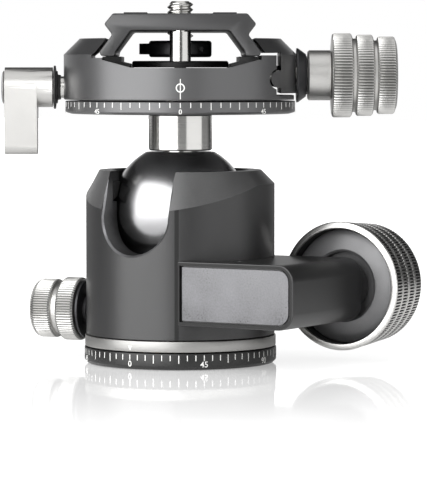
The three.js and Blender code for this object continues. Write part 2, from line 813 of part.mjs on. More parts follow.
// Pan lock knob in two knurled bands; its local +X points out of the housing
function makePanKnob() {
  const groove = panKnobStart + panKnobBand;
  const second = groove + panKnobGroove;
  const end = second + panKnobBand;
  const rows = [
    [0, panKnobStart], [panKnobInnerRadius - panKnobKnurl, panKnobStart],
    [panKnobInnerRadius, panKnobStart + fineEdge, panKnobKnurl],
    [panKnobInnerRadius, groove - fineEdge, panKnobKnurl],
    [panKnobOuterRadius - panKnobKnurl, groove], [panKnobOuterRadius - panKnobKnurl, second],
    [panKnobOuterRadius, second + fineEdge, panKnobKnurl],
    [panKnobOuterRadius, end - fineEdge, panKnobKnurl],
    [panKnobOuterRadius - panKnobEnd, end + panKnobEnd], [0, end + panKnobEnd],
  ];
  const body = toSolid(knurled(rows, panKnobTeeth).rotateZ(-Math.PI / 2).translate(0, 0, panLockZ));
  return cut(body, turnedX(rod(panScrewRadius + fitGap, 0, end), panLockZ, smallSegments));
}

function makePanCollar() {
  const end = panCollarStart + panCollarLength;
  const bore = panScrewRadius + fitGap;
  return turnedX([
    [bore, housingRadius + fitGap], [panNeckRadius, housingRadius + 2 * fitGap],
    [panNeckRadius, panCollarStart], [panCollarRadius - fineEdge, panCollarStart],
    [panCollarRadius, panCollarStart + fineEdge], [panCollarRadius, end], [bore, end],
  ], panLockZ);
}

function makePanLock() {
  const group = new THREE.Group();
  group.rotation.z = THREE.MathUtils.degToRad(panLockAngle);
  const padStart = bossRadius + fitGap;
  const padEnd = padStart + panPadLength;
  const screwEnd = panKnobStart + 2 * panKnobBand + panKnobGroove - fitGap;
  const pad = turnedX(rod(panScrewRadius, padStart, padEnd), panLockZ, smallSegments);
  const screw = turnedX(rod(panScrewRadius, padEnd + fitGap, screwEnd), panLockZ, smallSegments);
  group.add(
    piece('pan_brake_pad', pad, bronze), piece('pan_lock_screw', screw, brightSteel),
    piece('pan_lock_collar', makePanCollar(), darkAnodised),
    piece('pan_lock_knob', makePanKnob(), satinSilver),
  );
  return group;
}

// Ball: flat on top with a stud bore, and a bore from below that holds the cross pin
function makeBall() {
  const pinBoreTop = ballCentre + crossPinBore;
  const boreBottom = ballCentre - Math.sqrt(ballRadius ** 2 - crossPinBore ** 2);
  const studBore = studRadius + fitGap;
  const studFloor = studBottom - fitGap;
  return turnedZ([
    [0, pinBoreTop], [crossPinBore, pinBoreTop], ...ballArc(0, boreBottom, ballTop, ballRows),
    [studBore, ballTop], [studBore, studFloor], [0, studFloor],
  ], midSegments);
}

function makeStem() {
  const screwBore = capScrewRadius + fitGap;
  const screwFloor = capTop - capScrewLength - fitGap;
  return turnedZ([
    [0, studBottom], [studRadius, studBottom], [studRadius, stemBottom],
    [stemRadius - fineEdge, stemBottom], [stemRadius, stemBottom + fineEdge],
    [stemRadius, stemTop], [spigotRadius, stemTop], [spigotRadius, hubTop],
    [screwBore, hubTop], [screwBore, screwFloor], [0, screwFloor],
  ], midSegments);
}

function makePanDisc() {
  return turnedZ([
    [spigotRadius + fitGap, discBottom], [discRadius - 2 * discEdge, discBottom],
    [discRadius, discBottom + discEdge], [discRadius, discTop], [spigotRadius + fitGap, discTop],
  ], fineSegments);
}

function makeCap() {
  const bore = capScrewRadius + fitGap;
  const headFloor = capTop - capScrewHead - fitGap;
  const headBore = capScrewHeadRadius + fitGap;
  return turnedZ([
    [bore, capBottom], [capRadius, capBottom], [capRadius, capTop - fineEdge],
    [capRadius - fineEdge, capTop], [headBore, capTop], [headBore, headFloor], [bore, headFloor],
  ]);
}

function makeCapScrew() {
  const headBottom = capTop - capScrewHead;
  const tip = capTop - capScrewLength;
  return turnedZ([
    [0, tip], [capScrewRadius, tip], [capScrewRadius, headBottom],
    [capScrewHeadRadius, headBottom], [capScrewHeadRadius, capTop], [0, capTop],
  ], smallSegments);
}

// Round blank that the clamp body and the jaw are both cut from
function makeClampBlank() {
  return turnedZ([
    [0, clampBottom], [clampRadius - fineEdge, clampBottom], [clampRadius, clampBottom + fineEdge],
    [clampRadius, clampTop - clampChamferHeight], [clampRadius - clampChamferWidth, clampTop],
    [0, clampTop],
  ], fineSegments);
}

// Half-round nose of the jaw, or with a gap the groove that it rides in
function noseArc(gap, faceX) {
  const radius = noseRadius + gap;
  const centreX = jawSplit + jawSplitGap - noseCover;
  const centreZ = clampBottom + noseHeight;
  const reach = Math.acos((centreX - faceX) / radius);
  const points = [];
  for (let step = 0; step <= arcSteps; step++) {
    const angle = Math.PI + reach - (2 * reach * step) / arcSteps;
    points.push([centreX + radius * Math.cos(angle), centreZ + radius * Math.sin(angle)]);
  }
  return points;
}

// Dovetail face of a jaw: the plate's flank moved out by the gap, at a height
function dovetailAt(height) {
  const waistZ = plateTop - waistDrop;
  const footZ = plateBottom + footHeight;
  const slope = (footHalfWidth - waistHalfWidth) / (waistZ - footZ);
  const gap = fitGap * Math.hypot(1, slope);
  return waistHalfWidth + slope * (waistZ - height) + gap;
}

function bodySection() {
  const far = clampRadius + cutOverrun;
  const nose = noseArc(noseGap, jawSplit);
  const relief = plateBottom - fitGap;
  const heel = dovetailAt(plateBottom + footHeight);
  const shelfStart = footHalfWidth + fitGap;
  return [
    [-far, clampBottom - cutOverrun], [lipReach, clampBottom - cutOverrun],
    [lipReach, clampBottom + lipHeight], [jawSplit, clampBottom + lipHeight], ...nose,
    [jawSplit, shelfTop], [shelfStart, shelfTop], [shelfStart, ledgeTop],
    [ledgeHalfWidth, ledgeTop], [floorHalfWidth, floorTop],
    [-floorHalfWidth, floorTop], [-ledgeHalfWidth, ledgeTop],
    [-ledgeHalfWidth, relief], [-dovetailBack, relief], [-heel, plateBottom + footHeight],
    [-dovetailAt(clampTop - fineEdge), clampTop - fineEdge],
    [-dovetailAt(clampTop - fineEdge), clampTop + cutOverrun], [-far, clampTop + cutOverrun],
  ].map(([x, z]) => new THREE.Vector2(x, z));
}

function jawSection() {
  const far = clampRadius + cutOverrun;
  const face = jawSplit + jawSplitGap;
  const bottom = clampBottom + lipHeight + lipGap;
  const overhang = shelfTop + jawShelfGap;
  const tip = clampTop - fineEdge;
  return [
    [far, bottom], [far, clampTop + cutOverrun], [dovetailAt(tip), clampTop + cutOverrun],
    [dovetailAt(tip), tip], [dovetailAt(overhang), overhang], [face, overhang],
    ...noseArc(0, face).reverse(), [face, bottom],
  ].map(([x, z]) => new THREE.Vector2(x, z));
}

function guideRodBores(from, to) {
  return [-guideRodSpread, guideRodSpread].map((y) =>
    turnedX(rod(guideRodRadius + fitGap, from, to), jawScrewZ, smallSegments, y));
}

function makeClampBody() {
  const slab = barY(bodySection(), -clampRadius - cutOverrun, clampRadius + cutOverrun);
  const body = makeClampBlank().intersect(slab);
  const hubBore = rod(hubRadius + fitGap, clampBottom - cutOverrun, floorTop + cutOverrun);
  const screwBore = rod(jawScrewRadius + fitGap, jawScrewInner - fitGap, clampRadius);
  const leverBore = rod(leverSpindleRadius + fitGap, -clampRadius - cutOverrun, 0);
  return cut(
    body, turnedZ(hubBore), turnedX(screwBore, jawScrewZ, smallSegments),
    turnedX(leverBore, leverZ, smallSegments),
    ...guideRodBores(guideRodInner - fitGap, clampRadius),
  );
}

function makeJaw() {
  const slab = barY(jawSection(), -clampRadius - cutOverrun, clampRadius + cutOverrun);
  const body = makeClampBlank().intersect(slab);
  const screwBore = rod(jawScrewRadius + fitGap, floorHalfWidth, clampRadius + cutOverrun);
  const spotFace = rod(jawFlangeRadius + fitGap, jawFlangeStart - fitGap, clampRadius + cutOverrun);
  return cut(
    body, turnedX(screwBore, jawScrewZ, smallSegments), turnedX(spotFace, jawScrewZ),
    ...guideRodBores(floorHalfWidth, guideRodOuter + fitGap),
  );
}

function makeWearStrip(side) {
  const slopeAt = (x) => floorTop + (ledgeRise * (x - floorHalfWidth)) / (ledgeHalfWidth - floorHalfWidth);
  const top = plateBottom - fitGap;
  const section = [
    [side * wearStripInner, slopeAt(wearStripInner) + fitGap],
    [side * wearStripOuter, Math.min(slopeAt(wearStripOuter) + fitGap, top - fineEdge)],
    [side * wearStripOuter, top], [side * wearStripInner, top],
  ].map(([x, z]) => new THREE.Vector2(x, z));
  return barY(section, -wearStripLength / 2, wearStripLength / 2);
}

// Jaw knob: three knurled bands that step down towards the end
function makeJawKnob(start) {
  const rows = [[0, start], [jawKnobBandRadii[0] - jawKnobEdge - jawKnobKnurl, start]];
  let place = start;
  jawKnobBandRadii.forEach((radius, band) => {
    const end = place + jawKnobBandWidths[band];
    rows.push([radius, place + jawKnobEdge, jawKnobKnurl], [radius, end - jawKnobEdge, jawKnobKnurl]);
    rows.push([radius - jawKnobGrooveDepth, end]);
    const next = jawKnobBandRadii[band + 1];
    if (next) rows.push([next - jawKnobGrooveDepth, end + jawKnobGroove]);
    place = end + jawKnobGroove;
  });
  rows.push([0, place - jawKnobGroove]);
  const body = toSolid(knurled(rows, jawKnobTeeth).rotateZ(-Math.PI / 2).translate(0, 0, jawScrewZ));
  const bore = rod(jawScrewRadius + fitGap, 0, jawScrewOuter + fitGap);
  return cut(body, turnedX(bore, jawScrewZ, smallSegments));
}

// Pan lever: a round boss that turns down into a flat paddle with a rounded tip
function makeLever() {
  const tip = leverZ - paddleReach;
  const paddle = filleted([
    [-leverBossRadius, leverZ + leverBossRadius, paddleCrown],
    [-paddleTipHalfWidth, tip, paddleTipCorner], [paddleTipHalfWidth, tip, paddleTipCorner],
    [leverBossRadius, leverZ + leverBossRadius, paddleCrown],
  ]);
  const boss = turnedX([
    [0, -paddleStart - fineEdge], [leverBossRadius, -paddleStart - fineEdge],
    [leverBossRadius, -leverBossStart - fineEdge], [leverBossRadius - fineEdge, -leverBossStart],
    [0, -leverBossStart],
  ], leverZ);
  const bore = rod(leverSpindleRadius + fitGap, -leverSpindleOuter - fitGap, 0);
  return cut(join(barX(paddle, -paddleEnd, -paddleStart), boss), turnedX(bore, leverZ, smallSegments));
}

function plateSection() {
  const half = [
    [plateTopHalfWidth, plateTop], [wingHalfWidth, plateTop - wingDrop],
    [waistHalfWidth, plateTop - waistDrop], [footHalfWidth, plateBottom + footHeight],
    [footHalfWidth - fineEdge, plateBottom], [archFootHalfWidth, plateBottom],
    [archFootHalfWidth, plateBottom + footHeight], [archTopHalfWidth, plateTop - archDrop],
  ];
  const mirrored = half.slice().reverse().map(([x, z]) => [-x, z]);
  return [...half, ...mirrored].map(([x, z]) => new THREE.Vector2(x, z));
}

function makePlate() {
  const body = barY(plateSection(), -plateLength / 2, plateLength / 2);
  const halfPad = padWidth / 2 + fitGap;
  const grooves = [-padCentre, padCentre].map((x) => box(
    x - halfPad, x + halfPad, -padLength / 2 - fitGap, padLength / 2 + fitGap,
    plateTop - padRecess, plateTop + cutOverrun,
  ));
  const studTop = plateTop - archDrop + stopStudLength + fitGap;
  const studBores = [-stopPinSpread, stopPinSpread].map((y) =>
    drilledZ(0, y, stopStudRadius + fitGap, plateBottom, studTop));
  return cut(
    body, ...grooves, ...studBores,
    turnedZ(rod(screwHoleRadius, plateBottom, plateTop + cutOverrun)),
    turnedZ(rod(clipRadius + 2 * fitGap, plateTop - clipWellDepth, plateTop + cutOverrun)),
  );
}

function makePad(x) {
  const top = plateTop + padProud;
  const bottom = plateTop - padRecess + fitGap;
  return box(x - padWidth / 2, x + padWidth / 2, -padLength / 2, padLength / 2, bottom, top);
}

function makeStopPin(y) {
  const shoulder = plateTop - archDrop - fitGap;
  const bottom = shoulder - stopPinLength;
  const studTop = plateTop - archDrop + stopStudLength;
  const profile = [
    [0, bottom], [stopPinRadius - fineEdge, bottom], [stopPinRadius, bottom + fineEdge],
    [stopPinRadius, shoulder], [stopStudRadius, shoulder], [stopStudRadius, studTop], [0, studTop],
  ];
  return toSolid(revolve(profile, smallSegments).rotateX(Math.PI / 2).translate(0, y, 0));
}

function makeCameraScrew() {
  const body = turnedZ([
    [0, screwHeadBottom], [screwHeadRadius - fineEdge, screwHeadBottom],
    [screwHeadRadius, screwHeadBottom + fineEdge], [screwHeadRadius, screwHeadTop],
    [cameraThreadRadius, screwHeadTop], [cameraThreadRadius, cameraScrewTop - 2 * fineEdge],
    [cameraThreadRadius - 2 * fineEdge, cameraScrewTop], [0, cameraScrewTop],
  ], midSegments);
  const middle = (screwHeadBottom + screwHeadTop) / 2;
  const bore = rod(bailPinRadius + fitGap, -screwHeadRadius, screwHeadRadius);
  return cut(body, turnedY(bore, bailPivotX, middle, smallSegments));
}

// Bail: an open ring round the screw's head, held by a pin through the head
function makeBail() {
  const middle = (screwHeadBottom + screwHeadTop) / 2;
  const [bottom, top] = [middle - bailThickness / 2, middle + bailThickness / 2];
  const body = turnedZ(ring(screwHeadRadius + fitGap, bailOuterRadius, bottom, top));
  const end = bailPivotX + bailEnd;
  const opening = box(end, bailOuterRadius + cutOverrun, -bailOuterRadius, bailOuterRadius,
    bottom - cutOverrun, top + cutOverrun);
  const bore = rod(bailPinRadius + fitGap, -bailOuterRadius, bailOuterRadius);
  return cut(body, opening, turnedY(bore, bailPivotX, middle, smallSegments));
}

function makeBailPin() {
  const middle = (screwHeadBottom + screwHeadTop) / 2;
  const half = Math.sqrt(bailOuterRadius ** 2 - bailPivotX ** 2) - fitGap;
  return turnedY(rod(bailPinRadius, -half, half), bailPivotX, middle, smallSegments);
}

// Assembly of the base, the housing and both locks
function makeLowerGroup() {
  const group = new THREE.Group();
  const insert = turnedZ(ring(tripodThreadRadius, insertRadius, fineEdge, insertLength));
  const washer = turnedZ(ring(washerInner, washerOuter, washerFloor + fitGap, baseHeight));
  const index = turnedZ([
    [bossRadius + 2 * fitGap, indexBottom], [indexRadius - fineEdge, indexBottom],
    [indexRadius, indexBottom + fineEdge], [indexRadius, indexTop], [bossRadius + 2 * fitGap, indexTop],
  ], fineSegments);
  const inlay = barY(inlaySection(fitGap), armFront + fineEdge / 2, armFront + inlayDepth - fitGap);
  const lockCap = turnedY([
    [0, lockKnobBack - lockCapThickness], [lockCapRadius, lockKnobBack - lockCapThickness],
    [lockCapRadius, lockKnobBack - fineEdge], [lockCapRadius - fineEdge, lockKnobBack],
    [0, lockKnobBack],
  ], lockAxisX, lockAxisZ);
  group.add(
    piece('base_ring', makeBaseRing(), scaleBlack), piece('thread_insert', insert, brightSteel),
    piece('thrust_washer', washer, bronze), piece('pan_retainer', makeRetainer(), brightSteel),
    piece('index_ring', index, satinSilver), piece('housing', makeHousing(), blackAnodised),
    piece('bottom_plug', makeBottomPlug(), darkAnodised), piece('inlay_plate', inlay, greyInlay),
    piece('arm_set_screw', makeSetScrew(), darkAnodised),
    piece('upper_seat', makeUpperSeat(), paleNylon), piece('lower_seat', makeLowerSeat(), paleNylon),
    piece('push_pin', makePushPin(), brightSteel),
    piece('lock_spindle', makeLockSpindle(), brightSteel),
    piece('lock_knob', makeLockKnob(), satinSilver),
    piece('lock_knob_liner', makeLockLiner(), darkAnodised),
    piece('lock_knob_cap', lockCap, darkAnodised), makePanLock(),
  );
  retainerScrewPlaces().forEach((place, i) => {
    group.add(piece(`retainer_screw_${i + 1}`, makeRetainerScrew(place), brightSteel));
  });
  return group;
}

// Assembly of the ball and the stem with its disc, hub and cap
function makeBallGroup() {
  const group = new THREE.Group();
  const pinProfile = rod(crossPinRadius, -crossPinLength / 2, crossPinLength / 2);
  const pin = turnedX(pinProfile, ballCentre, smallSegments);
  const hub = turnedZ(ring(spigotRadius + fitGap, hubRadius, clampBottom, hubTop));
  group.add(
    piece('ball', makeBall(), blackChrome), piece('ball_cross_pin', pin, brightSteel),
    piece('stem', makeStem(), satinSilver), piece('pan_disc', makePanDisc(), scaleBlack),
    piece('pan_hub', hub, bronze), piece('retaining_cap', makeCap(), blackPlastic),
    piece('cap_screw', makeCapScrew(), brightSteel),
  );
  return group;
}

// Assembly of the clamp with its jaw, jaw knob and pan lever, in the clamp's own axes
function makeClampGroup() {
  const group = new THREE.Group();
  const screw = turnedX(rod(jawScrewRadius, jawScrewInner, jawScrewOuter), jawScrewZ, smallSegments);
  const bore = jawScrewRadius + fitGap;
  const flangeEnd = jawFlangeStart + jawFlangeLength;
  const flange = turnedX([
    [bore, jawFlangeStart], [jawFlangeRadius, jawFlangeStart],
    [jawFlangeRadius, flangeEnd - 2 * fineEdge], [jawCollarRadius - 2 * fineEdge, flangeEnd],
    [bore, flangeEnd],
  ], jawScrewZ);
  const collarStart = flangeEnd + fitGap;
  const collarEnd = collarStart + jawCollarLength;
  const collar = turnedX([
    [bore, collarStart], [jawCollarRadius - fineEdge, collarStart],
    [jawCollarRadius, collarStart + fineEdge], [jawCollarRadius, collarEnd], [bore, collarEnd],
  ], jawScrewZ);
  const padStart = hubRadius + fitGap;
  const spindleStart = padStart + clampPadLength + fitGap;
  const spindle = rod(leverSpindleRadius, -leverSpindleOuter, -spindleStart);
  const washerEnd = leverWasherStart + leverWasherThickness;
  const washer = ring(leverSpindleRadius + fitGap, leverWasherRadius, -washerEnd, -leverWasherStart);
  const capStart = paddleEnd + fitGap;
  const capEnd = capStart + leverCapThickness;
  const lever = makeLever();
  const cap = [
    [0, -capEnd], [leverCapRadius - leverCapThickness, -capEnd], [leverCapRadius, -capStart],
    [0, -capStart],
  ];
  group.add(
    piece('clamp_body', makeClampBody(), blackAnodised), piece('jaw', makeJaw(), blackAnodised),
    piece('wear_strip_left', makeWearStrip(-1), blackPlastic),
    piece('wear_strip_right', makeWearStrip(1), blackPlastic),
    piece('jaw_screw', screw, brightSteel), piece('jaw_flange', flange, darkAnodised),
    piece('jaw_collar', collar, satinSilver),
    piece('jaw_knob', makeJawKnob(collarEnd + fitGap), satinSilver),
    piece('clamp_brake_pad', turnedX(rod(clampPadRadius, -padStart - clampPadLength, -padStart),
      leverZ, smallSegments), bronze),
    piece('lever_spindle', turnedX(spindle, leverZ, smallSegments), brightSteel),
    piece('lever_washer', turnedX(washer, leverZ), blackPlastic),
    piece('pan_lever', lever, satinSilver), piece('lever_cap', turnedX(cap, leverZ), satinSilver),
  );
  ['front', 'back'].forEach((end, i) => {
    const y = (2 * i - 1) * guideRodSpread;
    const guide = turnedX(rod(guideRodRadius, guideRodInner, guideRodOuter), jawScrewZ, smallSegments, y);
    group.add(piece(`guide_rod_${end}`, guide, brightSteel));
  });
  return group;
}

// Assembly of the quick-release plate, in the clamp's own axes
function makePlateGroup() {
  const group = new THREE.Group();
  const clipBottom = plateTop - clipWellDepth + fitGap;
  const clipTop = clipBottom + clipThickness;
  const clip = turnedZ(ring(cameraThreadRadius + fitGap, clipRadius, clipBottom, clipTop));
  group.add(
    piece('plate', makePlate(), blackAnodised), piece('screw_clip', clip, blackPlastic),
    piece('camera_screw', makeCameraScrew(), darkAnodised),
    piece('screw_bail', makeBail(), darkAnodised), piece('bail_pin', makeBailPin(), brightSteel),
  );
  ['left', 'right'].forEach((side, i) => {
    group.add(piece(`plate_pad_${side}`, makePad((2 * i - 1) * padCentre), blackRubber));
  });
  ['front', 'back'].forEach((end, i) => {
    group.add(piece(`stop_pin_${end}`, makeStopPin((2 * i - 1) * stopPinSpread), brightSteel));
  });
  return group;
}

const upper = new THREE.Group();
upper.rotation.z = THREE.MathUtils.degToRad(clampTurn);
upper.add(makeClampGroup(), makePlateGroup());

const ballHead = new THREE.Group();
ballHead.add(makeLowerGroup(), makeBallGroup(), upper);

export default ballHead;
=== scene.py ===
import logging
import math
from dataclasses import dataclass
from enum import Enum
from typing import Callable, Iterable, Sequence

import bpy
from mathutils import Matrix, Vector


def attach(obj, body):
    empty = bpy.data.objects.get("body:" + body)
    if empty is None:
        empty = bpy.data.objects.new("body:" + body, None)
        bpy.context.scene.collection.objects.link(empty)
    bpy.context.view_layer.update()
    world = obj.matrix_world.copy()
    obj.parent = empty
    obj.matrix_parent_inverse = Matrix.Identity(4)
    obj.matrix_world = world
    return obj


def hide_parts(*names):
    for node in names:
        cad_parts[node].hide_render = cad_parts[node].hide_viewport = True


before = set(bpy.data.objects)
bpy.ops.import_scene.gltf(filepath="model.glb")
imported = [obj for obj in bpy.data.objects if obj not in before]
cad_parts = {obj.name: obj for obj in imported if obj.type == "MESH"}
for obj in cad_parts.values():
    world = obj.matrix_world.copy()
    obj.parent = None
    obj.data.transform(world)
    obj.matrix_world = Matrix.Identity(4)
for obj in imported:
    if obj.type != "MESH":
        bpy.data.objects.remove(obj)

LOG = logging.getLogger("ball_head")
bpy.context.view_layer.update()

# Sizes are in millimetres, but MM, WELD and BUMP_REACH are in metres
MM = 0.001
WELD = 2e-6
OVERRUN = 3.0
FINE_EDGE = 0.3
FACE_REACH = 0.1
FACE_SLACK = 0.02
ROUND_STEPS = 144
MARK_LIFT = 0.03
BUMP_REACH = 0.02 * MM
LOCK_X, LOCK_Z = 36.0, 18.8
PAN_LOCK_Z = 12.2
JAW_Z = 70.0
LEVER_Z = 67.1
CLAMP_TURN = math.radians(31)
PAN_LOCK_TURN = math.radians(190)
ROUND_FLUTE = (0.0, 0.62, 1.0, 0.62)
SQUARE_NOTCH = (0.0, 0.0, 0.0, 1.0, 1.0)
# Depth shares of a flute between which its faces get painted shade
FLUTE_FLOOR_SHARES = (0.6, 1.3)
FINE_DETAIL = 2.0
LINE_DETAIL = 3.0
BROAD_GRAIN = (140.0, 4.0)
SILVER_TINT = (1.0, 0.99, 0.965)

Point = tuple[float, float]
Spot = tuple[float, float, float]
Outline = Sequence[Point]
Piece = bpy.types.Object
Tree = bpy.types.NodeTree
Socket = bpy.types.NodeSocket


class Lay(Enum):
    """Direction that a piece built round Z is laid along."""

    UP = "Z"
    OUT = "X"
    BACK = "Y"


LAYING = {
    Lay.UP: Matrix.Identity(4),
    Lay.OUT: Matrix.Rotation(math.pi / 2, 4, "Y"),
    Lay.BACK: Matrix.Rotation(-math.pi / 2, 4, "X"),
}
STANDING = {
    Lay.UP: Matrix.Identity(4),
    Lay.OUT: Matrix(((0, 0, 1, 0), (1, 0, 0, 0), (0, 1, 0, 0), (0, 0, 0, 1))),
    Lay.BACK: Matrix.Rotation(math.pi / 2, 4, "X"),
}


# Hand work on one piece

def leave_edit() -> None:
    """Leave edit mode and deselect everything."""
    if bpy.context.object and bpy.context.object.mode != "OBJECT":
        bpy.ops.object.mode_set(mode="OBJECT")
    bpy.ops.object.select_all(action="DESELECT")


def hold(piece: Piece) -> None:
    """Select one piece alone and make it the active one.

    Args:
        piece: The piece.
    """
    leave_edit()
    piece.select_set(True)
    bpy.context.view_layer.objects.active = piece


def edit(piece: Piece, choice: str = "SELECT") -> None:
    """Enter a piece's edit mode.

    Args:
        piece: The piece.
        choice: Whether all of it is selected or deselected.
    """
    hold(piece)
    bpy.ops.object.mode_set(mode="EDIT")
    bpy.ops.mesh.select_all(action=choice)


def draw(name: str, points: Sequence[Sequence[float]]) -> Piece:
    """Draw a line of edges, vertex by vertex.

    Args:
        name: Name of the new piece.
        points: Places that the line passes.

    Returns:
        The piece, left in edit mode.
    """
    leave_edit()
    bpy.ops.mesh.primitive_plane_add(size=MM, location=(0, 0, 0))
    piece = bpy.context.object
    piece.name = piece.data.name = name
    edit(piece)
    bpy.ops.mesh.merge(type="CENTER")
    bpy.ops.transform.translate(value=Vector(points[0]) * MM)
    for here, there in zip(points, points[1:]):
        step = (Vector(there) - Vector(here)) * MM
        bpy.ops.mesh.extrude_vertices_move(TRANSFORM_OT_translate={"value": step})
    return piece


def fill_line() -> None:
    """Close the line in hand and fill it with a face."""
    bpy.ops.mesh.select_all(action="SELECT")
    bpy.ops.mesh.remove_doubles(threshold=WELD)
    bpy.ops.mesh.select_all(action="SELECT")
    bpy.ops.mesh.edge_face_add()


def close_up(piece: Piece) -> None:
    """Merge the doubles of a piece and turn its faces outwards.

    Args:
        piece: The piece.
    """
    edit(piece)
    bpy.ops.mesh.remove_doubles(threshold=WELD)
    bpy.ops.mesh.normals_make_consistent(inside=False)
    leave_edit()


def move(piece: Piece, matrix: Matrix) -> None:
    """Move a piece for good, its origin back at the frame's.

    Args:
        piece: The piece, not moved before.
        matrix: The move, in metres.
    """
    hold(piece)
    piece.matrix_world = matrix
    bpy.ops.object.transform_apply(location=True, rotation=True, scale=True)


def put(piece: Piece, lay: Lay = Lay.UP, at: Sequence[float] = (0, 0, 0), turn: float = 0.0) -> None:
    """Lay a piece along its direction, carry it to its place and turn it round the pan axis."""
    move(piece, Matrix.Rotation(turn, 4, "Z") @ Matrix.Translation(Vector(at) * MM) @ LAYING[lay])


def turned(name: str, profile: Outline, steps: int = ROUND_STEPS) -> Piece:
    """Spin an outline round Z, as on a lathe.

    Args:
        name: Name of the new piece.
        profile: Radius and height of each corner. Off the axis, it makes a ring.
        steps: Number of facets round the piece.

    Returns:
        The closed piece.
    """
    corners = [(radius, 0.0, height) for radius, height in profile]
    if profile[0][0] > 0 or profile[-1][0] > 0:
        corners.append(corners[0])
    piece = draw(name, corners)
    bpy.ops.mesh.select_all(action="SELECT")
    bpy.ops.mesh.spin(steps=steps, angle=2 * math.pi, center=(0, 0, 0), axis=(0, 0, 1))
    close_up(piece)
    return piece


def rod(radius: float, span: Point, steps: int = 32, lay: Lay = Lay.UP,
        at: Sequence[float] = (0, 0, 0), turn: float = 0.0) -> Piece:
    """Turn a plain cylinder, as a cutter or a boss, and lay it.

    Args:
        radius: Its radius.
        span: Where it starts and ends along its direction.
        steps: Number of facets round it.
        lay: Its direction.
        at: Place of its origin, before the turn.
        turn: Angle round the pan axis, in radians.

    Returns:
        The cylinder.
    """
    start, end = span
    tool = turned("rod", [(0, start), (radius, start), (radius, end), (0, end)], steps)
    put(tool, lay, at, turn)
    return tool


def prism(name: str, outline: Outline, start: float, end: float, lay: Lay = Lay.UP) -> Piece:
    """Fill an outline and extrude it.

    Args:
        name: Name of the new piece.
        outline: Corners, as (x, y) for UP, (x, z) for BACK and (y, z) for OUT.
        start: Place of the first face along the direction.
        end: Place of the second face.
        lay: Direction of the extrusion.

    Returns:
        The closed piece.
    """
    first = -end if lay is Lay.BACK else start
    corners = [(x, y, first) for x, y in outline]
    piece = draw(name, [*corners, corners[0]])
    fill_line()
    bpy.ops.mesh.extrude_region_move(TRANSFORM_OT_translate={"value": (0, 0, (end - start) * MM)})
    close_up(piece)
    move(piece, STANDING[lay])
    return piece


def block(name: str, low: Sequence[float], high: Sequence[float]) -> Piece:
    """Extrude a rectangle between two corners."""
    base = [(low[0], low[1]), (high[0], low[1]), (high[0], high[1]), (low[0], high[1])]
    return prism(name, base, low[2], high[2])


def modify(piece: Piece, kind: str, **settings: object) -> None:
    """Apply one modifier to a piece.

    Args:
        piece: The piece.
        kind: Type of the modifier.
        settings: Its properties and their values.
    """
    hold(piece)
    step = piece.modifiers.new(kind, kind)
    for label, value in settings.items():
        setattr(step, label, value)
    bpy.ops.object.modifier_apply(modifier=step.name)


def carve(piece: Piece, tool: Piece, way: str = "DIFFERENCE") -> None:
    """Cut, join or intersect a piece with a tool, which is used up."""
    modify(piece, "BOOLEAN", operation=way, object=tool, solver="EXACT")
    bpy.data.objects.remove(tool, do_unlink=True)


def soften(piece: Piece, width: float, corner: float = 30.0, rounds: int = 2) -> None:
    """Round the edges of a piece that are sharper than a corner angle in degrees."""
    modify(piece, "BEVEL", width=width * MM, segments=rounds, limit_method="ANGLE",
           angle_limit=math.radians(corner), miter_outer="MITER_ARC")


def shade(piece: Piece, angle: float = 30.0) -> None:
    """Shade a piece smooth but for edges sharper than an angle in degrees."""
    hold(piece)
    bpy.ops.object.shade_smooth_by_angle(angle=math.radians(angle))


def merge_pieces(name: str, parts: Sequence[Piece]) -> Piece:
    """Join loose parts into one piece.

    Args:
        name: Name of the joined piece.
        parts: The parts.

    Returns:
        The joined piece.
    """
    leave_edit()
    for part in parts:
        part.select_set(True)
    whole = bpy.context.view_layer.objects.active = parts[0]
    bpy.ops.object.join()
    whole.name = whole.data.name = name
    return whole


def arc(centre: Point, radius: float, start: float, end: float, steps: int = 8) -> list[Point]:
    """Find points of an arc.

    Args:
        centre: Its centre.
        radius: Its radius.
        start: First angle, in degrees.
        end: Last angle.
        steps: Number of steps between them.

    Returns:
        The points.
    """
    angles = [math.radians(start + (end - start) * step / steps) for step in range(steps + 1)]
    return [(centre[0] + radius * math.cos(angle), centre[1] + radius * math.sin(angle)) for angle in angles]


def wrap(piece: Piece, radius: float, bearing: float = 0.0, lift: float = 0.0) -> None:
    """Wrap a flat piece that faces -Y round a ring.

    Args:
        piece: The piece, at the origin.
        radius: Radius of the ring.
        bearing: Angle of the piece's middle from -Y, in radians.
        lift: Height that it is raised by.
    """
    for vertex in piece.data.vertices:
        angle = bearing + vertex.co.x / (radius * MM)
        reach = radius * MM - vertex.co.y
        vertex.co = (reach * math.sin(angle), -reach * math.cos(angle), vertex.co.z + lift * MM)


def flutes(piece: Piece, count: int, bands: Iterable[Spot], depth: float,
           columns: Sequence[float] = ROUND_FLUTE) -> None:
    """Press straight flutes into bands of a turned piece that still stands round Z.

    Args:
        piece: The turned piece, with a facet for each column of each flute.
        count: Number of flutes round it.
        bands: Lowest place, highest place and radius of each band.
        depth: Depth of a flute.
        columns: How deep each column of a flute is pressed, as a share of the depth.
    """
    steps = count * len(columns)
    for low, high, radius in bands:
        for column, share in enumerate(columns):
            if not share:
                continue
            edit(piece, "DESELECT")
            bpy.ops.mesh.select_mode(type="VERT")
            bpy.ops.object.mode_set(mode="OBJECT")
            for vertex in piece.data.vertices:
                place = vertex.co / MM
                spoke = round(math.atan2(place.y, place.x) / (2 * math.pi) * steps)
                on_band = low <= place.z <= high and place.xy.length >= radius - depth
                vertex.select = on_band and spoke % len(columns) == column
            bpy.ops.object.mode_set(mode="EDIT")
            scale = 1 - depth * share / radius
            bpy.ops.transform.resize(value=(scale, scale, 1), center_override=(0, 0, 0))
    leave_edit()


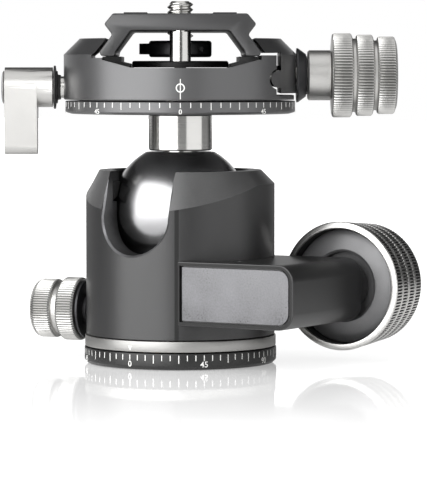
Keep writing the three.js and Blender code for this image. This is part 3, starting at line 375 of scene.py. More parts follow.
def find(piece: Piece, wanted: Callable[[Vector], bool]) -> list[int]:
    """Find the numbers of the faces whose centre is wanted."""
    return [face.index for face in piece.data.polygons if wanted(face.center / MM)]


def painted_shade_faces(piece: Piece, bands: Sequence[Spot], depth: float) -> list[int]:
    """Find the faces at the bottom of a piece's flutes, which get painted shade, while it stands round Z.

    Args:
        piece: The fluted piece.
        bands: Lowest place, highest place and radius of each band.
        depth: Depth of a flute.

    Returns:
        The faces' numbers.
    """
    least, most = (depth * share for share in FLUTE_FLOOR_SHARES)
    return find(piece, lambda place: any(
        low < place.z < high and least < radius - place.xy.length < most for low, high, radius in bands))


def paint(piece: Piece, faces: Iterable[int], index: int = 1) -> None:
    """Give numbered faces another of the piece's materials."""
    for face in faces:
        piece.data.polygons[face].material_index = index


# Surface effects that several materials share

def feed(tree: Tree, node: bpy.types.Node, inputs: dict[str | int, object]) -> None:
    """Link or set inputs of a node.

    Args:
        tree: The node's tree.
        node: The node.
        inputs: Name or number of each socket, with the output or the value that it gets.
    """
    for label, value in inputs.items():
        if isinstance(value, Socket):
            tree.links.new(value, node.inputs[label])
        else:
            node.inputs[label].default_value = value


def add_node(tree: Tree, kind: str, inputs: dict[str | int, object], **settings: object) -> bpy.types.Node:
    """Add a node.

    Args:
        tree: The tree that it joins.
        kind: Its type, without the prefix.
        inputs: What its sockets get, as for feed.
        settings: Its properties and their values.

    Returns:
        The node.
    """
    node = tree.nodes.new(f"ShaderNode{kind}")
    for label, value in settings.items():
        setattr(node, label, value)
    feed(tree, node, inputs)
    return node


def compute(tree: Tree, operation: str, *values: object, clamp: bool = False) -> Socket:
    """Chain one kind of sum over outputs and numbers.

    Args:
        tree: The tree.
        operation: Kind of sum.
        values: Outputs and numbers, in order.
        clamp: Whether the result is kept from 0 to 1.

    Returns:
        The output of the last sum.
    """
    last = values[0]
    for value in values[1:]:
        last = add_node(tree, "Math", {0: last, 1: value}, operation=operation, use_clamp=clamp).outputs[0]
    return last


def new_group(name: str, inputs: dict[str, str], outputs: dict[str, str]) -> Tree:
    """Start a shader node group.

    Args:
        name: Name of the group.
        inputs: Name and type of each input.
        outputs: Name and type of each output.

    Returns:
        The group, its input and output nodes first.
    """
    tree = bpy.data.node_groups.new(name, "ShaderNodeTree")
    for way, sockets in (("Input", inputs), ("Output", outputs)):
        for label, kind in sockets.items():
            tree.interface.new_socket(name=label, in_out=way.upper(), socket_type=f"NodeSocket{kind}")
        tree.nodes.new(f"NodeGroup{way}")
    return tree


def roughen(tree: Tree, height: Socket, noise: Socket, normal: dict[str, Socket]) -> Socket:
    """Feed a group's outputs with a bump and an uneven gloss.

    Args:
        tree: The group.
        height: Output that the bump follows.
        noise: Output that the gloss follows, about a half.
        normal: Normal that the bump starts from, if the group has one.

    Returns:
        How far the noise is from a half, times the group's unevenness.
    """
    given = tree.nodes[0].outputs
    relief = {"Distance": BUMP_REACH, "Strength": given["Depth"], "Height": height, **normal}
    bump = add_node(tree, "Bump", relief)
    change = compute(tree, "MULTIPLY", compute(tree, "SUBTRACT", noise, 0.5), given["Unevenness"])
    gloss = compute(tree, "ADD", given["Roughness"], change, clamp=True)
    feed(tree, tree.nodes[1], {"Normal": bump.outputs["Normal"], "Roughness": gloss})
    return change


def grain_group() -> Tree:
    """Fine blasted grain under anodising: a small bump and slightly uneven gloss and colour.

    Returns:
        The group.
    """
    tree = new_group(
        "blasted_grain",
        {"Color": "Color", "Roughness": "Float", "Grain Size": "Float", "Depth": "Float",
         "Unevenness": "Float"},
        {"Color": "Color", "Roughness": "Float", "Normal": "Vector"},
    )
    given = tree.nodes[0].outputs
    place = add_node(tree, "TexCoord", {}).outputs["Object"]
    fine, broad = (
        add_node(tree, "TexNoise", {"Vector": place, "Scale": scale, "Detail": detail}).outputs["Fac"]
        for scale, detail in ((given["Grain Size"], FINE_DETAIL), BROAD_GRAIN)
    )
    noise = compute(tree, "ADD", *(compute(tree, "MULTIPLY", each, 0.5) for each in (fine, broad)))
    change = roughen(tree, fine, noise, {})
    bright = compute(tree, "ADD", 1.0, change)
    colour = add_node(tree, "VectorMath", {"Vector": given["Color"], "Scale": bright}, operation="SCALE")
    feed(tree, tree.nodes[1], {"Color": colour.outputs["Vector"]})
    return tree


def lathe_group() -> Tree:
    """Fine lathe lines round an axis: a bump and a gloss change that run round the piece.

    Returns:
        The group.
    """
    tree = new_group(
        "lathe_lines",
        {"Axis Place": "Vector", "Axis Turn": "Vector", "Roughness": "Float", "Line Density": "Float",
         "Depth": "Float", "Unevenness": "Float", "Normal": "Vector"},
        {"Roughness": "Float", "Normal": "Vector"},
    )
    given = tree.nodes[0].outputs
    place = add_node(tree, "TexCoord", {}).outputs["Object"]
    axis = {"Vector": place, "Location": given["Axis Place"], "Rotation": given["Axis Turn"]}
    local = add_node(tree, "Mapping", axis, vector_type="TEXTURE").outputs["Vector"]
    parts = add_node(tree, "SeparateXYZ", {0: local}).outputs
    flat = add_node(tree, "CombineXYZ", {"X": parts["X"], "Y": parts["Y"]}).outputs[0]
    radius = add_node(tree, "VectorMath", {0: flat}, operation="LENGTH").outputs["Value"]
    section = add_node(tree, "CombineXYZ", {"X": radius, "Y": parts["Z"]}).outputs[0]
    streaks = {"Vector": section, "Scale": given["Line Density"], "Detail": LINE_DETAIL}
    lines = add_node(tree, "TexNoise", streaks, noise_dimensions="2D").outputs["Fac"]
    roughen(tree, lines, lines, {"Normal": given["Normal"]})
    return tree


BLASTED = grain_group()
LATHE = lathe_group()


@dataclass(frozen=True)
class Turning:
    """Axis that lathe lines run round: its place and the turn of Z onto it."""

    at: Spot = (0.0, 0.0, 0.0)
    turn: Spot = (0.0, 0.0, 0.0)
    depth: float = 0.2
    density: float = 3000.0


UPRIGHT = Turning()
ALONG_CLAMP = Turning((0.0, 0.0, JAW_Z), (0.0, math.pi / 2, CLAMP_TURN), 0.25)
ALONG_LEVER = Turning((0.0, 0.0, LEVER_Z), (0.0, math.pi / 2, CLAMP_TURN))
ALONG_LOCK = Turning((LOCK_X, 0.0, LOCK_Z), (-math.pi / 2, 0.0, 0.0), 0.25)
ALONG_PAN_LOCK = Turning((0.0, 0.0, PAN_LOCK_Z), (0.0, math.pi / 2, PAN_LOCK_TURN), 0.25)


@dataclass(frozen=True)
class Finish:
    """One surface finish: its colour and gloss, its grain and, if turned, its lathe lines."""

    name: str
    slot: str
    colour: Spot
    roughness: float
    metallic: float = 0.0
    grain_size: float = 9000.0
    grain_depth: float = 0.1
    unevenness: float = 0.12
    specular: float = 0.5
    turning: Turning | None = None

    def material(self) -> bpy.types.Material:
        """Build the finish's material, unless it is built.

        Returns:
            The material.
        """
        if self.name in bpy.data.materials:
            return bpy.data.materials[self.name]
        material = bpy.data.materials.new(self.name)
        material.use_nodes = True
        tree = material.node_tree
        last = grain = add_node(tree, "Group", {
            "Color": (*self.colour, 1.0), "Roughness": self.roughness, "Grain Size": self.grain_size,
            "Depth": self.grain_depth, "Unevenness": self.unevenness,
        }, node_tree=BLASTED)
        if self.turning:
            last = add_node(tree, "Group", {
                "Axis Place": [value * MM for value in self.turning.at], "Axis Turn": self.turning.turn,
                "Depth": self.turning.depth, "Line Density": self.turning.density,
                "Unevenness": self.unevenness, "Roughness": grain.outputs["Roughness"],
                "Normal": grain.outputs["Normal"],
            }, node_tree=LATHE)
        feed(tree, tree.nodes["Principled BSDF"], {
            "Base Color": grain.outputs["Color"], "Metallic": self.metallic,
            "Specular IOR Level": self.specular, "Roughness": last.outputs["Roughness"],
            "Normal": last.outputs["Normal"],
        })
        return material


def grey(name: str, slot: str, light: float, roughness: float, metallic: float = 0.0, blue: float = 1.0,
         **others: object) -> Finish:
    """A grey finish, its blue a share of its red and green."""
    return Finish(name, slot, (light, light, light * blue), roughness, metallic, **others)


def silver(name: str, turning: Turning, roughness: float = 0.34, light: float = 0.45) -> Finish:
    """Satin silver anodising with lathe lines round an axis."""
    colour = tuple(light * share for share in SILVER_TINT)
    return Finish(name, "satin_silver", colour, roughness, 1.0, grain_depth=0.15, turning=turning)


BLASTED_FINE = {"grain_size": 3000.0, "grain_depth": 0.4, "unevenness": 0.7}
CHARCOAL = grey("charcoal_anodised", "black_anodised", 0.01, 0.37, 0.1, 1.05, grain_depth=0.35, specular=0.7)
# Sloping facet: a finer blasted grain, and a colour lighter than the housing's as painted light on the
# upward-facing facet
FACET_GRAIN_AND_PAINTED_LIGHT = grey("facet_grain_and_painted_light", "black_anodised", 0.075, 0.42, 0.4, 1.013, **BLASTED_FINE, specular=0.9)
# Painted shade: a darker, duller copy of the housing's anodising for the frame round the inlay
FRAME_PAINTED_SHADE = grey("frame_painted_shade", "black_anodised", 0.008, 0.5, specular=0.3)
# Painted highlight: a lighter grey line on the drop slot's chamfer
SLOT_EDGE_PAINTED_HIGHLIGHT = grey("slot_edge_painted_highlight", "black_anodised", 0.14, 0.3, 0.8, 1.036, grain_depth=0.05)
CLAMP_BLACK = grey("clamp_anodised", "black_anodised", 0.1, 0.36, 0.7, 1.02, grain_depth=0.35, specular=0.9)
PLATE_BLACK = grey("plate_anodised", "black_anodised", 0.05, 0.36, 0.5, 1.02, grain_depth=0.35, specular=0.7)
DARK = grey("dark_anodised_metal", "dark_anodised", 0.03, 0.38, 0.5, 1.067)
DISH = grey("dish_anodised", "dark_anodised", 0.13, 0.42, 0.4, 1.023, **BLASTED_FINE, specular=1.0)
# Painted shade: near-black in the lock knob's notches and on its ring's inner wall
PIT_PAINTED_SHADE = grey("knurl_pit_painted_shade", "dark_anodised", 0.012, 0.5, 0.3)
SCALE = grey("scale_anodised", "scale_black", 0.014, 0.4, 0.1, specular=0.45)
DISC_BLACK = grey("disc_anodised", "scale_black", 0.1, 0.38, 0.6, 1.02, specular=1.0)
MARKING = grey("marking_white", "scale_black", 0.82, 0.5, 0.0, 0.976, grain_depth=0.02)
INLAY = grey("inlay_grey", "grey_inlay", 0.18, 0.6, 0.2, 1.044, grain_size=2200.0, grain_depth=0.9,
             unevenness=2.6)
CHROME = grey("black_chrome_ball", "black_chrome", 0.3, 0.25, 1.0, 1.017, grain_depth=0.0, unevenness=0.03)
RUBBER = grey("pad_rubber", "black_rubber", 0.02, 0.75, grain_size=4000.0, grain_depth=0.6)
PLASTIC = grey("black_plastic_skin", "black_plastic", 0.01, 0.5)
SEAT = grey("seat_nylon", "pale_nylon", 0.015, 0.5)
BRONZE = Finish("bronze_metal", "bronze", (0.45, 0.29, 0.13), 0.35, 1.0, turning=UPRIGHT)
STEEL = Finish("steel_metal", "bright_steel", (0.5, 0.495, 0.48), 0.25, 1.0)
# Painted shade: a darker silver on the faces at the bottom of the pan and jaw knobs' flutes
GROOVE_PAINTED_SHADE = grey("flute_painted_shade", "satin_silver", 0.17, 0.45, 0.8, 0.97)
STEM_SILVER = silver("stem_silver", UPRIGHT, 0.15, 0.5)
RING_SILVER = silver("index_silver", UPRIGHT, 0.46, 0.33)
LOCK_SILVER = silver("lock_knob_silver", ALONG_LOCK, 0.28, 0.58)
PAN_SILVER = silver("pan_knob_silver", ALONG_PAN_LOCK, 0.4, 0.53)
JAW_SILVER = silver("jaw_knob_silver", ALONG_CLAMP, 0.4, 0.5)
LEVER_SILVER = silver("lever_silver", ALONG_LEVER, 0.38, 0.5)


def dress(piece: Piece, finish: Finish, body: str, nodes: Sequence[str] = (),
          others: Sequence[Finish] = ()) -> None:
    """Give a finished piece its material, its body and the nodes that it stands for.

    Args:
        piece: The finished piece, at its place.
        finish: Its main finish.
        body: Body that it rides on.
        nodes: CAD nodes that it replaces.
        others: Further finishes, for the faces that have their own.
    """
    piece.data.materials.clear()
    for one in (finish, *others):
        piece.data.materials.append(one.material())
    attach(piece, body)
    if nodes:
        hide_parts(*nodes)
    LOG.info("%s rides on %s with %d faces", piece.name, body, len(piece.data.polygons))


@dataclass
class Unit:
    """A sub-assembly: the body that most of its pieces ride on, and how its round pieces are laid."""

    body: str = "base"
    lay: Lay = Lay.UP
    at: Spot = (0.0, 0.0, 0.0)
    turn: float = 0.0

    def place(self, piece: Piece) -> None:
        """Lay a round piece along the unit's axis."""
        put(piece, self.lay, self.at, self.turn)

    def close(self, piece: Piece, finish: Finish, node: str, angle: float = 30.0,
              others: Sequence[Finish] = (), body: str = "") -> None:
        """Turn a piece with its unit, shade it and dress it.

        Args:
            piece: The piece, built at its place before the turn.
            finish: Its main finish.
            node: CAD node that it replaces.
            angle: Sharpest edge that is shaded smooth, in degrees.
            others: Finishes of the faces that have their own.
            body: Body that it rides on, if not the unit's.
        """
        put(piece, turn=self.turn)
        shade(piece, angle)
        dress(piece, finish, body or self.body, [node], others)

    def lathe(self, name: str, profile: Outline, finish: Finish, node: str, steps: int = ROUND_STEPS,
              angle: float = 30.0, edge: float = 0.0, body: str = "") -> None:
        """Turn, lay, shade and dress a plain round piece.

        Args:
            name: Name of the new piece.
            profile: Radius and height of each corner.
            finish: Its finish.
            node: CAD node that it replaces.
            steps: Number of facets round it.
            angle: Sharpest edge that is shaded smooth, in degrees.
            edge: Width of its rounded edges.
            body: Body that it rides on, if not the unit's.
        """
        piece = turned(name, profile, steps)
        if edge:
            soften(piece, edge, 35)
        self.place(piece)
        shade(piece, angle)
        dress(piece, finish, body or self.body, [node])


@dataclass
class Graduations:
    """Ticks and numbers round a ring, zero at a given angle from -Y."""

    radius: float
    top: float
    text_foot: float
    zero: float = 0.0
    short: float = 1.35
    long: float = 1.95
    width: float = 0.22
    text_height: float = 1.4
    capital_share: float = 0.7
    text_offset_share: float = 1 / 14
    tick_step: int = 5
    long_step: int = 15
    number_step: int = 45

    def tick(self, degrees: int) -> Piece:
        """Draw one raised line.

        Args:
            degrees: Its angle from zero.

        Returns:
            The line.
        """
        is_long = degrees % self.long_step == 0 and degrees % self.number_step
        height = self.long if is_long else self.short
        low = (-self.width / 2, -self.radius - MARK_LIFT, self.top - height)
        mark = block("tick", low, (self.width / 2, -self.radius + MARK_LIFT, self.top))
        put(mark, turn=self.zero + math.radians(degrees))
        return mark

    def number(self, degrees: int) -> Piece:
        """Write one number and wrap it round the ring.

        Args:
            degrees: Its angle from zero.

        Returns:
            The number.
        """
        leave_edit()
        bpy.ops.object.text_add(location=(0, 0, 0))
        text = bpy.context.object.data
        text.body = str(min(degrees, 360 - degrees))
        text.align_x = "CENTER"
        text.size = self.text_height * MM / self.capital_share
        text.extrude = MARK_LIFT * MM
        text.offset = self.width * self.text_offset_share * MM
        text.resolution_u = 4
        hold(bpy.context.object)
        bpy.ops.object.convert(target="MESH")
        label = bpy.context.object
        move(label, STANDING[Lay.BACK])
        wrap(label, self.radius, self.zero + math.radians(degrees), self.text_foot)
        return label

    def make(self, name: str, body: str) -> None:
        """Draw all marks as one piece.

        Args:
            name: Name of the piece.
            body: Body that it rides on.
        """
        marks = [self.tick(degrees) for degrees in range(0, 360, self.tick_step)]
        marks += [self.number(degrees) for degrees in range(0, 360, self.number_step)]
        dress(merge_pieces(name, marks), MARKING, body)


@dataclass
class BaseUnit(Unit):
    """Black scale ring that stands on the tripod, and the silver index ring above it."""

    radius: float = 23.45
    height: float = 3.9
    edge: float = 0.8
    insert_bore: float = 6.8
    insert_top: float = 10.8
    race: Point = (13.9, 20.3)
    race_floor: float = 3.0
    boss_radius: float = 11.7
    boss_top: float = 14.55
    index_radius: float = 23.35
    index_bottom: float = 4.2
    index_top: float = 6.8
    index_bore: float = 12.3
    pointer: float = 1.1
    pointer_foot: float = 0.3
    pointer_depth: float = 0.05
    mark_gap: float = 0.35
    text_foot: float = 0.68

    def scale_ring(self) -> None:
        """The base ring with its boss and the blind bore for the thread insert, and its marks."""
        inner, outer = self.race
        self.lathe("scale_ring", [
            (self.insert_bore, 0), (self.radius - self.edge, 0), (self.radius, self.edge),
            (self.radius, self.height), (outer, self.height), (outer, self.race_floor),
            (inner, self.race_floor), (inner, self.height), (self.boss_radius, self.height),
            (self.boss_radius, self.boss_top), (0, self.boss_top), (0, self.insert_top),
            (self.insert_bore, self.insert_top),
        ], SCALE, "base_ring", edge=0.12)
        Graduations(self.radius, self.height - self.mark_gap, self.text_foot).make("scale_marks", self.body)

    def index_ring(self) -> None:
        """The index ring, with a small pointer over the scale."""
        self.lathe("silver_index_ring", [
            (self.index_bore, self.index_bottom), (self.index_radius, self.index_bottom),
            (self.index_radius, self.index_top), (self.index_bore, self.index_top),
        ], RING_SILVER, "index_ring", edge=0.2, body="housing")
        half = self.pointer / 2
        foot = self.index_bottom + self.pointer_foot
        outline = [(-half, foot + self.pointer), (0, foot), (half, foot + self.pointer)]
        mark = prism("base_pointer", outline, -self.index_radius - MARK_LIFT,
                     -self.index_radius + self.pointer_depth, Lay.BACK)
        dress(mark, MARKING, "housing")

    def make(self) -> None:
        """Build the base."""
        self.scale_ring()
        self.index_ring()


@dataclass
class Cup(Unit):
    """Housing of the ball: a cup with a drop slot, a dipping facet and the lock arm."""

    body: str = "housing"
    radius: float = 23.05
    bottom: float = 7.1
    top: float = 47.0
    facet_radius: float = 19.8
    facet_back: float = 43.7
    facet_front: float = 37.3
    facet_dip: float = 7.0
    facet_slack: float = 0.4
    edge: float = 0.1
    mouth: float = 16.5
    mouth_chamfer: float = 0.5
    bore: float = 17.3
    lip: float = 2.4
    seat_bore: float = 18.6
    seat_bottom: float = 39.6
    slot: float = 9.0
    slot_centre: float = 36.1
    slot_chamfer: float = 0.5
    slot_flare: float = 0.35
    slot_front: float = -15.0
    slot_reach: float = 4.0
    arm_right: float = 42.5
    arm_front: float = -20.06
    arm_back: float = 14.4
    arm_bottom: float = 10.6
    arm_top: float = 25.9
    arm_corner: float = 4.0
    arm_edge: float = 0.25
    arm_frame: float = 0.95
    inlay_left: float = 11.75
    inlay_gap: float = 0.32
    inlay_edge: float = 0.12
    inlay_depth: float = 1.0
    inlay_span: Point = (0.1, 0.7)
    boss_radius: float = 6.3
    boss_length: float = 3.6
    pin_bore: float = 4.0
    pin_start: float = -12.3
    pin_reach: float = 34.0
    push_bore: float = 2.3
    pan_bore: float = 1.9
    pan_span: Point = (15.0, 30.0)
    screw_at: Spot = (23.4, -12.6, 0.0)
    screw_bore: float = 1.3
    screw_span: Point = (22.4, 30.0)
    screw_profile: Outline = ((0, 22.9), (1.0, 22.9), (1.0, 25.4), (0.85, 25.6), (0, 25.6))
    socket: float = 0.55
    socket_span: Point = (24.2, 26.2)

    def facet_edge(self, angle: float) -> float:
        """Height of the facet's lower edge at an angle from the slot."""
        return min(self.facet_back, self.facet_front + self.facet_dip * (1 - math.cos(angle)))

    def blank(self) -> Piece:
        """Turn the outside of the cup and lower its facet edge towards the slot.

        Returns:
            The solid cup.
        """
        blank = turned("cup_shell", [
            (0, self.bottom), (self.radius, self.bottom), (self.radius, self.facet_back),
            (self.facet_radius, self.top), (0, self.top),
        ])
        for vertex in blank.data.vertices:
            place = vertex.co / MM
            if abs(place.z - self.facet_back) < WELD / MM and place.xy.length > self.facet_radius:
                vertex.co.z = self.facet_edge(math.atan2(place.x, -place.y)) * MM
        return blank

    def slot_outline(self, grow: float) -> list[Point]:
        """Find the outline of the drop slot: half round below, slightly flared above.

        Args:
            grow: Width that is added all round.

        Returns:
            The outline.
        """
        radius = self.slot + grow
        above = self.top + OVERRUN
        middle = (self.slot_centre + self.top) / 2
        return [
            *arc((0, self.slot_centre), radius, 180, 360, 32), (radius, middle),
            (radius + self.slot_flare, above), (-radius - self.slot_flare, above), (-radius, middle),
        ]

    def slot_depth(self, x: float, z: float) -> float:
        """Find the y of the cup's outside in front of a corner of the slot.

        Args:
            x: The corner's x.
            z: The corner's height.

        Returns:
            The y.
        """
        angle = math.asin(x / self.radius)
        edge = self.facet_edge(angle)
        climb = max(0.0, min(1.0, (z - edge) / (self.top - edge)))
        reach = self.radius - climb * (self.radius - self.facet_radius)
        return -math.sqrt(reach * reach - x * x)

    def slot_cutter(self) -> Piece:
        """Build the prism of the slot, wider where it leaves the cup for the chamfer.

        Returns:
            The cutter.
        """
        outline = self.slot_outline(0.0)
        wide = self.slot_outline(self.slot_chamfer)
        far = self.radius + OVERRUN
        steps = (self.radius - 1, 1, OVERRUN)
        stations = (0.0, self.radius - 1, self.radius, far)
        cutter = draw("slot_cutter", [(x, 0.0, z) for x, z in [*outline, outline[0]]])
        fill_line()
        for step in steps:
            bpy.ops.mesh.extrude_region_move(TRANSFORM_OT_translate={"value": (0, -step * MM, 0)})
        leave_edit()
        for vertex in cutter.data.vertices:
            place = vertex.co / MM
            station = min(range(4), key=lambda i: abs(stations[i] + place.y))
            corner = min(range(len(outline)), key=lambda i: math.dist(outline[i], (place.x, place.z)))
            inner, outer = outline[corner], wide[corner]
            if station == 1:
                vertex.co = Vector((inner[0], self.slot_depth(*inner) + self.slot_chamfer, inner[1])) * MM
            elif station > 1:
                y = self.slot_depth(*outer) if station == 2 else -far
                vertex.co = Vector((outer[0], y, outer[1])) * MM
        close_up(cutter)
        return cutter

    def arm_outline(self, inset: float, left: float) -> list[Point]:
        """Find the section of the arm: square on the left, rounded on the right.

        Args:
            inset: Distance inside the arm's own outline.
            left: Where it starts.

        Returns:
            The outline.
        """
        corner = self.arm_corner - inset
        right = self.arm_right - inset - corner
        low = self.arm_bottom + inset + corner
        high = self.arm_top - inset - corner
        return [
            (left, self.arm_bottom + inset), *arc((right, low), corner, -90, 0, 10),
            *arc((right, high), corner, 0, 90, 10), (left, self.arm_top - inset),
        ]

    def shell(self) -> None:
        """The whole housing, cut and chamfered, with painted light on its facet, slot chamfer and inlay
        frame.
        """
        shell = self.blank()
        arm = prism("arm", self.arm_outline(0, 0.0), self.arm_front, self.arm_back, Lay.BACK)
        soften(arm, self.arm_edge, 40)
        carve(shell, arm, "UNION")
        lock = (LOCK_X, 0, LOCK_Z)
        boss = rod(self.boss_radius, (0, self.arm_back + self.boss_length), 64, Lay.BACK, lock)
        carve(shell, boss, "UNION")
        low, lip, high = self.bottom - OVERRUN, self.top - self.lip, self.top + OVERRUN
        seat, rim = self.seat_bore + FINE_EDGE, self.mouth + self.mouth_chamfer
        carve(shell, turned("cavity", [
            (0, low), (self.bore, low), (self.bore, self.seat_bottom), (seat, self.seat_bottom),
            (seat, lip), (self.mouth, lip), (self.mouth, self.top - self.mouth_chamfer),
            (rim, self.top), (rim, high), (0, high),
        ]))
        carve(shell, self.slot_cutter())
        carve(shell, prism("recess", self.arm_outline(self.arm_frame, self.inlay_left),
                           self.arm_front - OVERRUN, self.arm_front + self.inlay_depth, Lay.BACK))
        for radius, span, lay, at, turn in (
            (self.pin_bore, (0, self.pin_reach), Lay.BACK, (LOCK_X, self.pin_start, LOCK_Z), 0.0),
            (self.push_bore, (0, LOCK_X), Lay.OUT, (0, 0, LOCK_Z), 0.0),
            (self.pan_bore, self.pan_span, Lay.OUT, (0, 0, PAN_LOCK_Z), PAN_LOCK_TURN),
            (self.screw_bore, self.screw_span, Lay.UP, self.screw_at, 0.0),
        ):
            carve(shell, rod(radius, span, 32, lay, at, turn))
        soften(shell, self.edge, 40, 1)
        shade(shell, 14)
        dress(shell, CHARCOAL, self.body, ["housing"], [FACET_GRAIN_AND_PAINTED_LIGHT, SLOT_EDGE_PAINTED_HIGHLIGHT, FRAME_PAINTED_SHADE])
        # Painted light on the housing: the lighter facet, a painted highlight on the slot's chamfer and
        # painted shade on the inlay's frame
        paint(shell, find(shell, self.on_facet), 1)
        paint(shell, find(shell, self.on_slot_edge), 2)
        paint(shell, find(shell, self.on_frame), 3)

    def on_facet(self, place: Vector) -> bool:
        """Whether a face lies on the sloping facet, which is lighter partly as painted light."""
        edge = self.facet_edge(math.atan2(place.x, -place.y))
        return place.xy.length >= self.facet_radius - self.facet_slack and place.z > edge + FACE_SLACK

    def on_frame(self, place: Vector) -> bool:
        """Whether a face lies on the frame round the inlay, which gets painted shade."""
        return place.y < self.arm_front + FACE_SLACK and place.x > self.inlay_left - self.arm_frame

    def on_slot_edge(self, place: Vector) -> bool:
        """Tell whether a face lies on the chamfer of the drop slot, which gets a painted highlight.

        Args:
            place: Centre of the face.

        Returns:
            Whether it does.
        """
        if place.y > self.slot_front or place.xy.length < self.radius - self.slot_reach:
            return False
        low = place.z < self.slot_centre
        across = math.hypot(place.x, place.z - self.slot_centre) if low else abs(place.x)
        return self.slot + FACE_SLACK < across < self.slot + self.slot_chamfer - FACE_SLACK

    def inlay(self) -> None:
        """The grey plate set into the arm's front."""
        outline = self.arm_outline(self.arm_frame + self.inlay_gap, self.inlay_left + 2 * self.inlay_gap)
        plate = prism("arm_inlay", outline, *(self.arm_front + depth for depth in self.inlay_span), Lay.BACK)
        soften(plate, self.inlay_edge, 40)
        shade(plate)
        dress(plate, INLAY, self.body, ["inlay_plate"])

    def set_screw(self) -> None:
        """The small socket screw in the arm's top."""
        screw = turned("arm_grub_screw", self.screw_profile, 32)
        carve(screw, rod(self.socket, self.socket_span, 6))
        put(screw, at=self.screw_at)
        shade(screw)
        dress(screw, STEEL, self.body, ["arm_set_screw"])

    def make(self) -> None:
        """Build the housing and what is set into it."""
        self.shell()
        self.inlay()
        self.set_screw()


@dataclass
class MainLock(Unit):
    """Big knob at the end of the lock arm."""

    body: str = "lock_knob"
    lay: Lay = Lay.BACK
    at: Spot = (LOCK_X, 15.0, LOCK_Z)
    length: float = 15.8
    radius: float = 15.7
    taper: float = 1.1
    rim: float = 0.8
    back_edge: float = 0.6
    rows: int = 4
    ridge: float = 0.9
    row_edge: float = 0.12
    notch_count: int = 124
    notch_depth: float = 0.5
    wall: float = 1.7
    cavity: float = 4.6
    liner_gap: float = 0.05
    liner_hole: float = 8.3
    liner_bore: float = 3.3
    cap_radius: float = 6.2
    cap_seat: float = 1.9

    def radius_at(self, place: float) -> float:
        """Outer radius at a distance from the knob's front."""
        return self.radius - self.taper * place / self.length

    def gets_painted_shade(self, place: Vector, bands: Sequence[Spot]) -> bool:
        """Tell whether a face gets painted shade: in a notch or on the ring's inner wall.

        Args:
            place: Centre of the face.
            bands: Lowest place, highest place and radius of each row.

        Returns:
            Whether it does.
        """
        if place.xy.length < self.radius - self.wall + FACE_REACH:
            return FINE_EDGE < place.z < self.cavity + FACE_REACH
        in_row = any(low < place.z < high for low, high, _ in bands)
        return in_row and place.xy.length < self.radius_at(place.z) - self.notch_depth / 3

    def knob(self) -> None:
        """The silver ring, with painted shade in its rows of pits and on its inner wall."""
        end = self.length - self.back_edge
        pitch = (end - self.rim + self.ridge) / self.rows
        inner = self.radius - self.wall
        profile = [
            (0, self.cavity), (inner, self.cavity), (inner, 0.25), (inner + 0.25, 0),
            (self.radius - 0.45, 0), (self.radius - 0.12, 0.15), (self.radius, 0.45),
        ]
        bands = []
        for row in range(self.rows):
            low = self.rim + row * pitch
            high = low + pitch - self.ridge
            profile += [(self.radius_at(low), place) for place in (low, low + self.row_edge)]
            profile += [(self.radius_at(high), place) for place in (high - self.row_edge, high)]
            bands.append((low + self.row_edge / 2, high - self.row_edge / 2, self.radius_at(low)))
        back, hole, seat = self.radius_at(end), self.cap_radius + FINE_EDGE, self.length - self.cap_seat
        profile += [
            (back, end + 0.1), (back - 0.15, self.length - 0.2), (back - 0.5, self.length),
            (hole + FINE_EDGE, self.length), (hole, self.length - FINE_EDGE), (hole, seat), (0, seat),
        ]
        knob = turned("lock_knob_ring", profile, self.notch_count * len(SQUARE_NOTCH))
        flutes(knob, self.notch_count, bands, self.notch_depth, SQUARE_NOTCH)
        shade(knob, 25)
        # Painted shade: the notches and the ring's inner wall get the near-black finish
        dark = find(knob, lambda place: self.gets_painted_shade(place, bands))
        self.place(knob)
        dress(knob, LOCK_SILVER, self.body, ["lock_knob"], [PIT_PAINTED_SHADE])
        paint(knob, dark)

    def liner(self) -> None:
        """The dished black disc round the arm's end."""
        outer, hole = self.radius - self.wall - self.liner_gap, self.liner_hole
        self.lathe("lock_knob_dish", [
            (hole, 4.0), (hole, 2.3), (hole + 0.6, 1.9), (outer - 0.5, 3.2), (outer, 3.5), (outer, 4.3),
            (self.liner_bore, 4.3), (self.liner_bore, 4.0),
        ], DISH, "lock_knob_liner", edge=0.1)

    def cap(self) -> None:
        """The cap in the knob's outer end."""
        self.lathe("lock_end_cap", [(radius, self.length - depth) for radius, depth in (
            (0, 1.6), (self.cap_radius, 1.6), (self.cap_radius, 0.35), (self.cap_radius - 0.4, 0.05),
            (self.cap_radius - 1.3, 0.05), (self.cap_radius - 1.6, 0.3), (0, 0.3),
        )], DARK, "lock_knob_cap")

    def make(self) -> None:
        """Build the main lock's knob."""
        self.knob()
        self.liner()
        self.cap()


@dataclass
class FlutedUnit(Unit):
    """A sub-assembly laid along X whose knob has straight flutes."""

    lay: Lay = Lay.OUT
    flute_count: int = 72
    flute_depth: float = 0.3

    def grip(self, name: str, profile: Outline, bands: Sequence[Spot], finish: Finish,
             bore: Piece | None = None) -> None:
        """Build the knob, with painted shade at the bottom of its flutes.

        Args:
            name: Name of the new piece.
            profile: Radius and height of each corner.
            bands: Lowest place, highest place and radius of each fluted band.
            finish: Its finish.
            bore: Cutter of its bore, if it has one.
        """
        knob = turned(name, profile, self.flute_count * len(ROUND_FLUTE))
        flutes(knob, self.flute_count, bands, self.flute_depth)
        if bore:
            carve(knob, bore)
        # Painted shade: the faces at the bottom of the flutes get the darker groove finish
        deep = painted_shade_faces(knob, bands, self.flute_depth)
        self.place(knob)
        shade(knob, 35)
        dress(knob, finish, self.body, [self.body], [GROOVE_PAINTED_SHADE])
        paint(knob, deep)


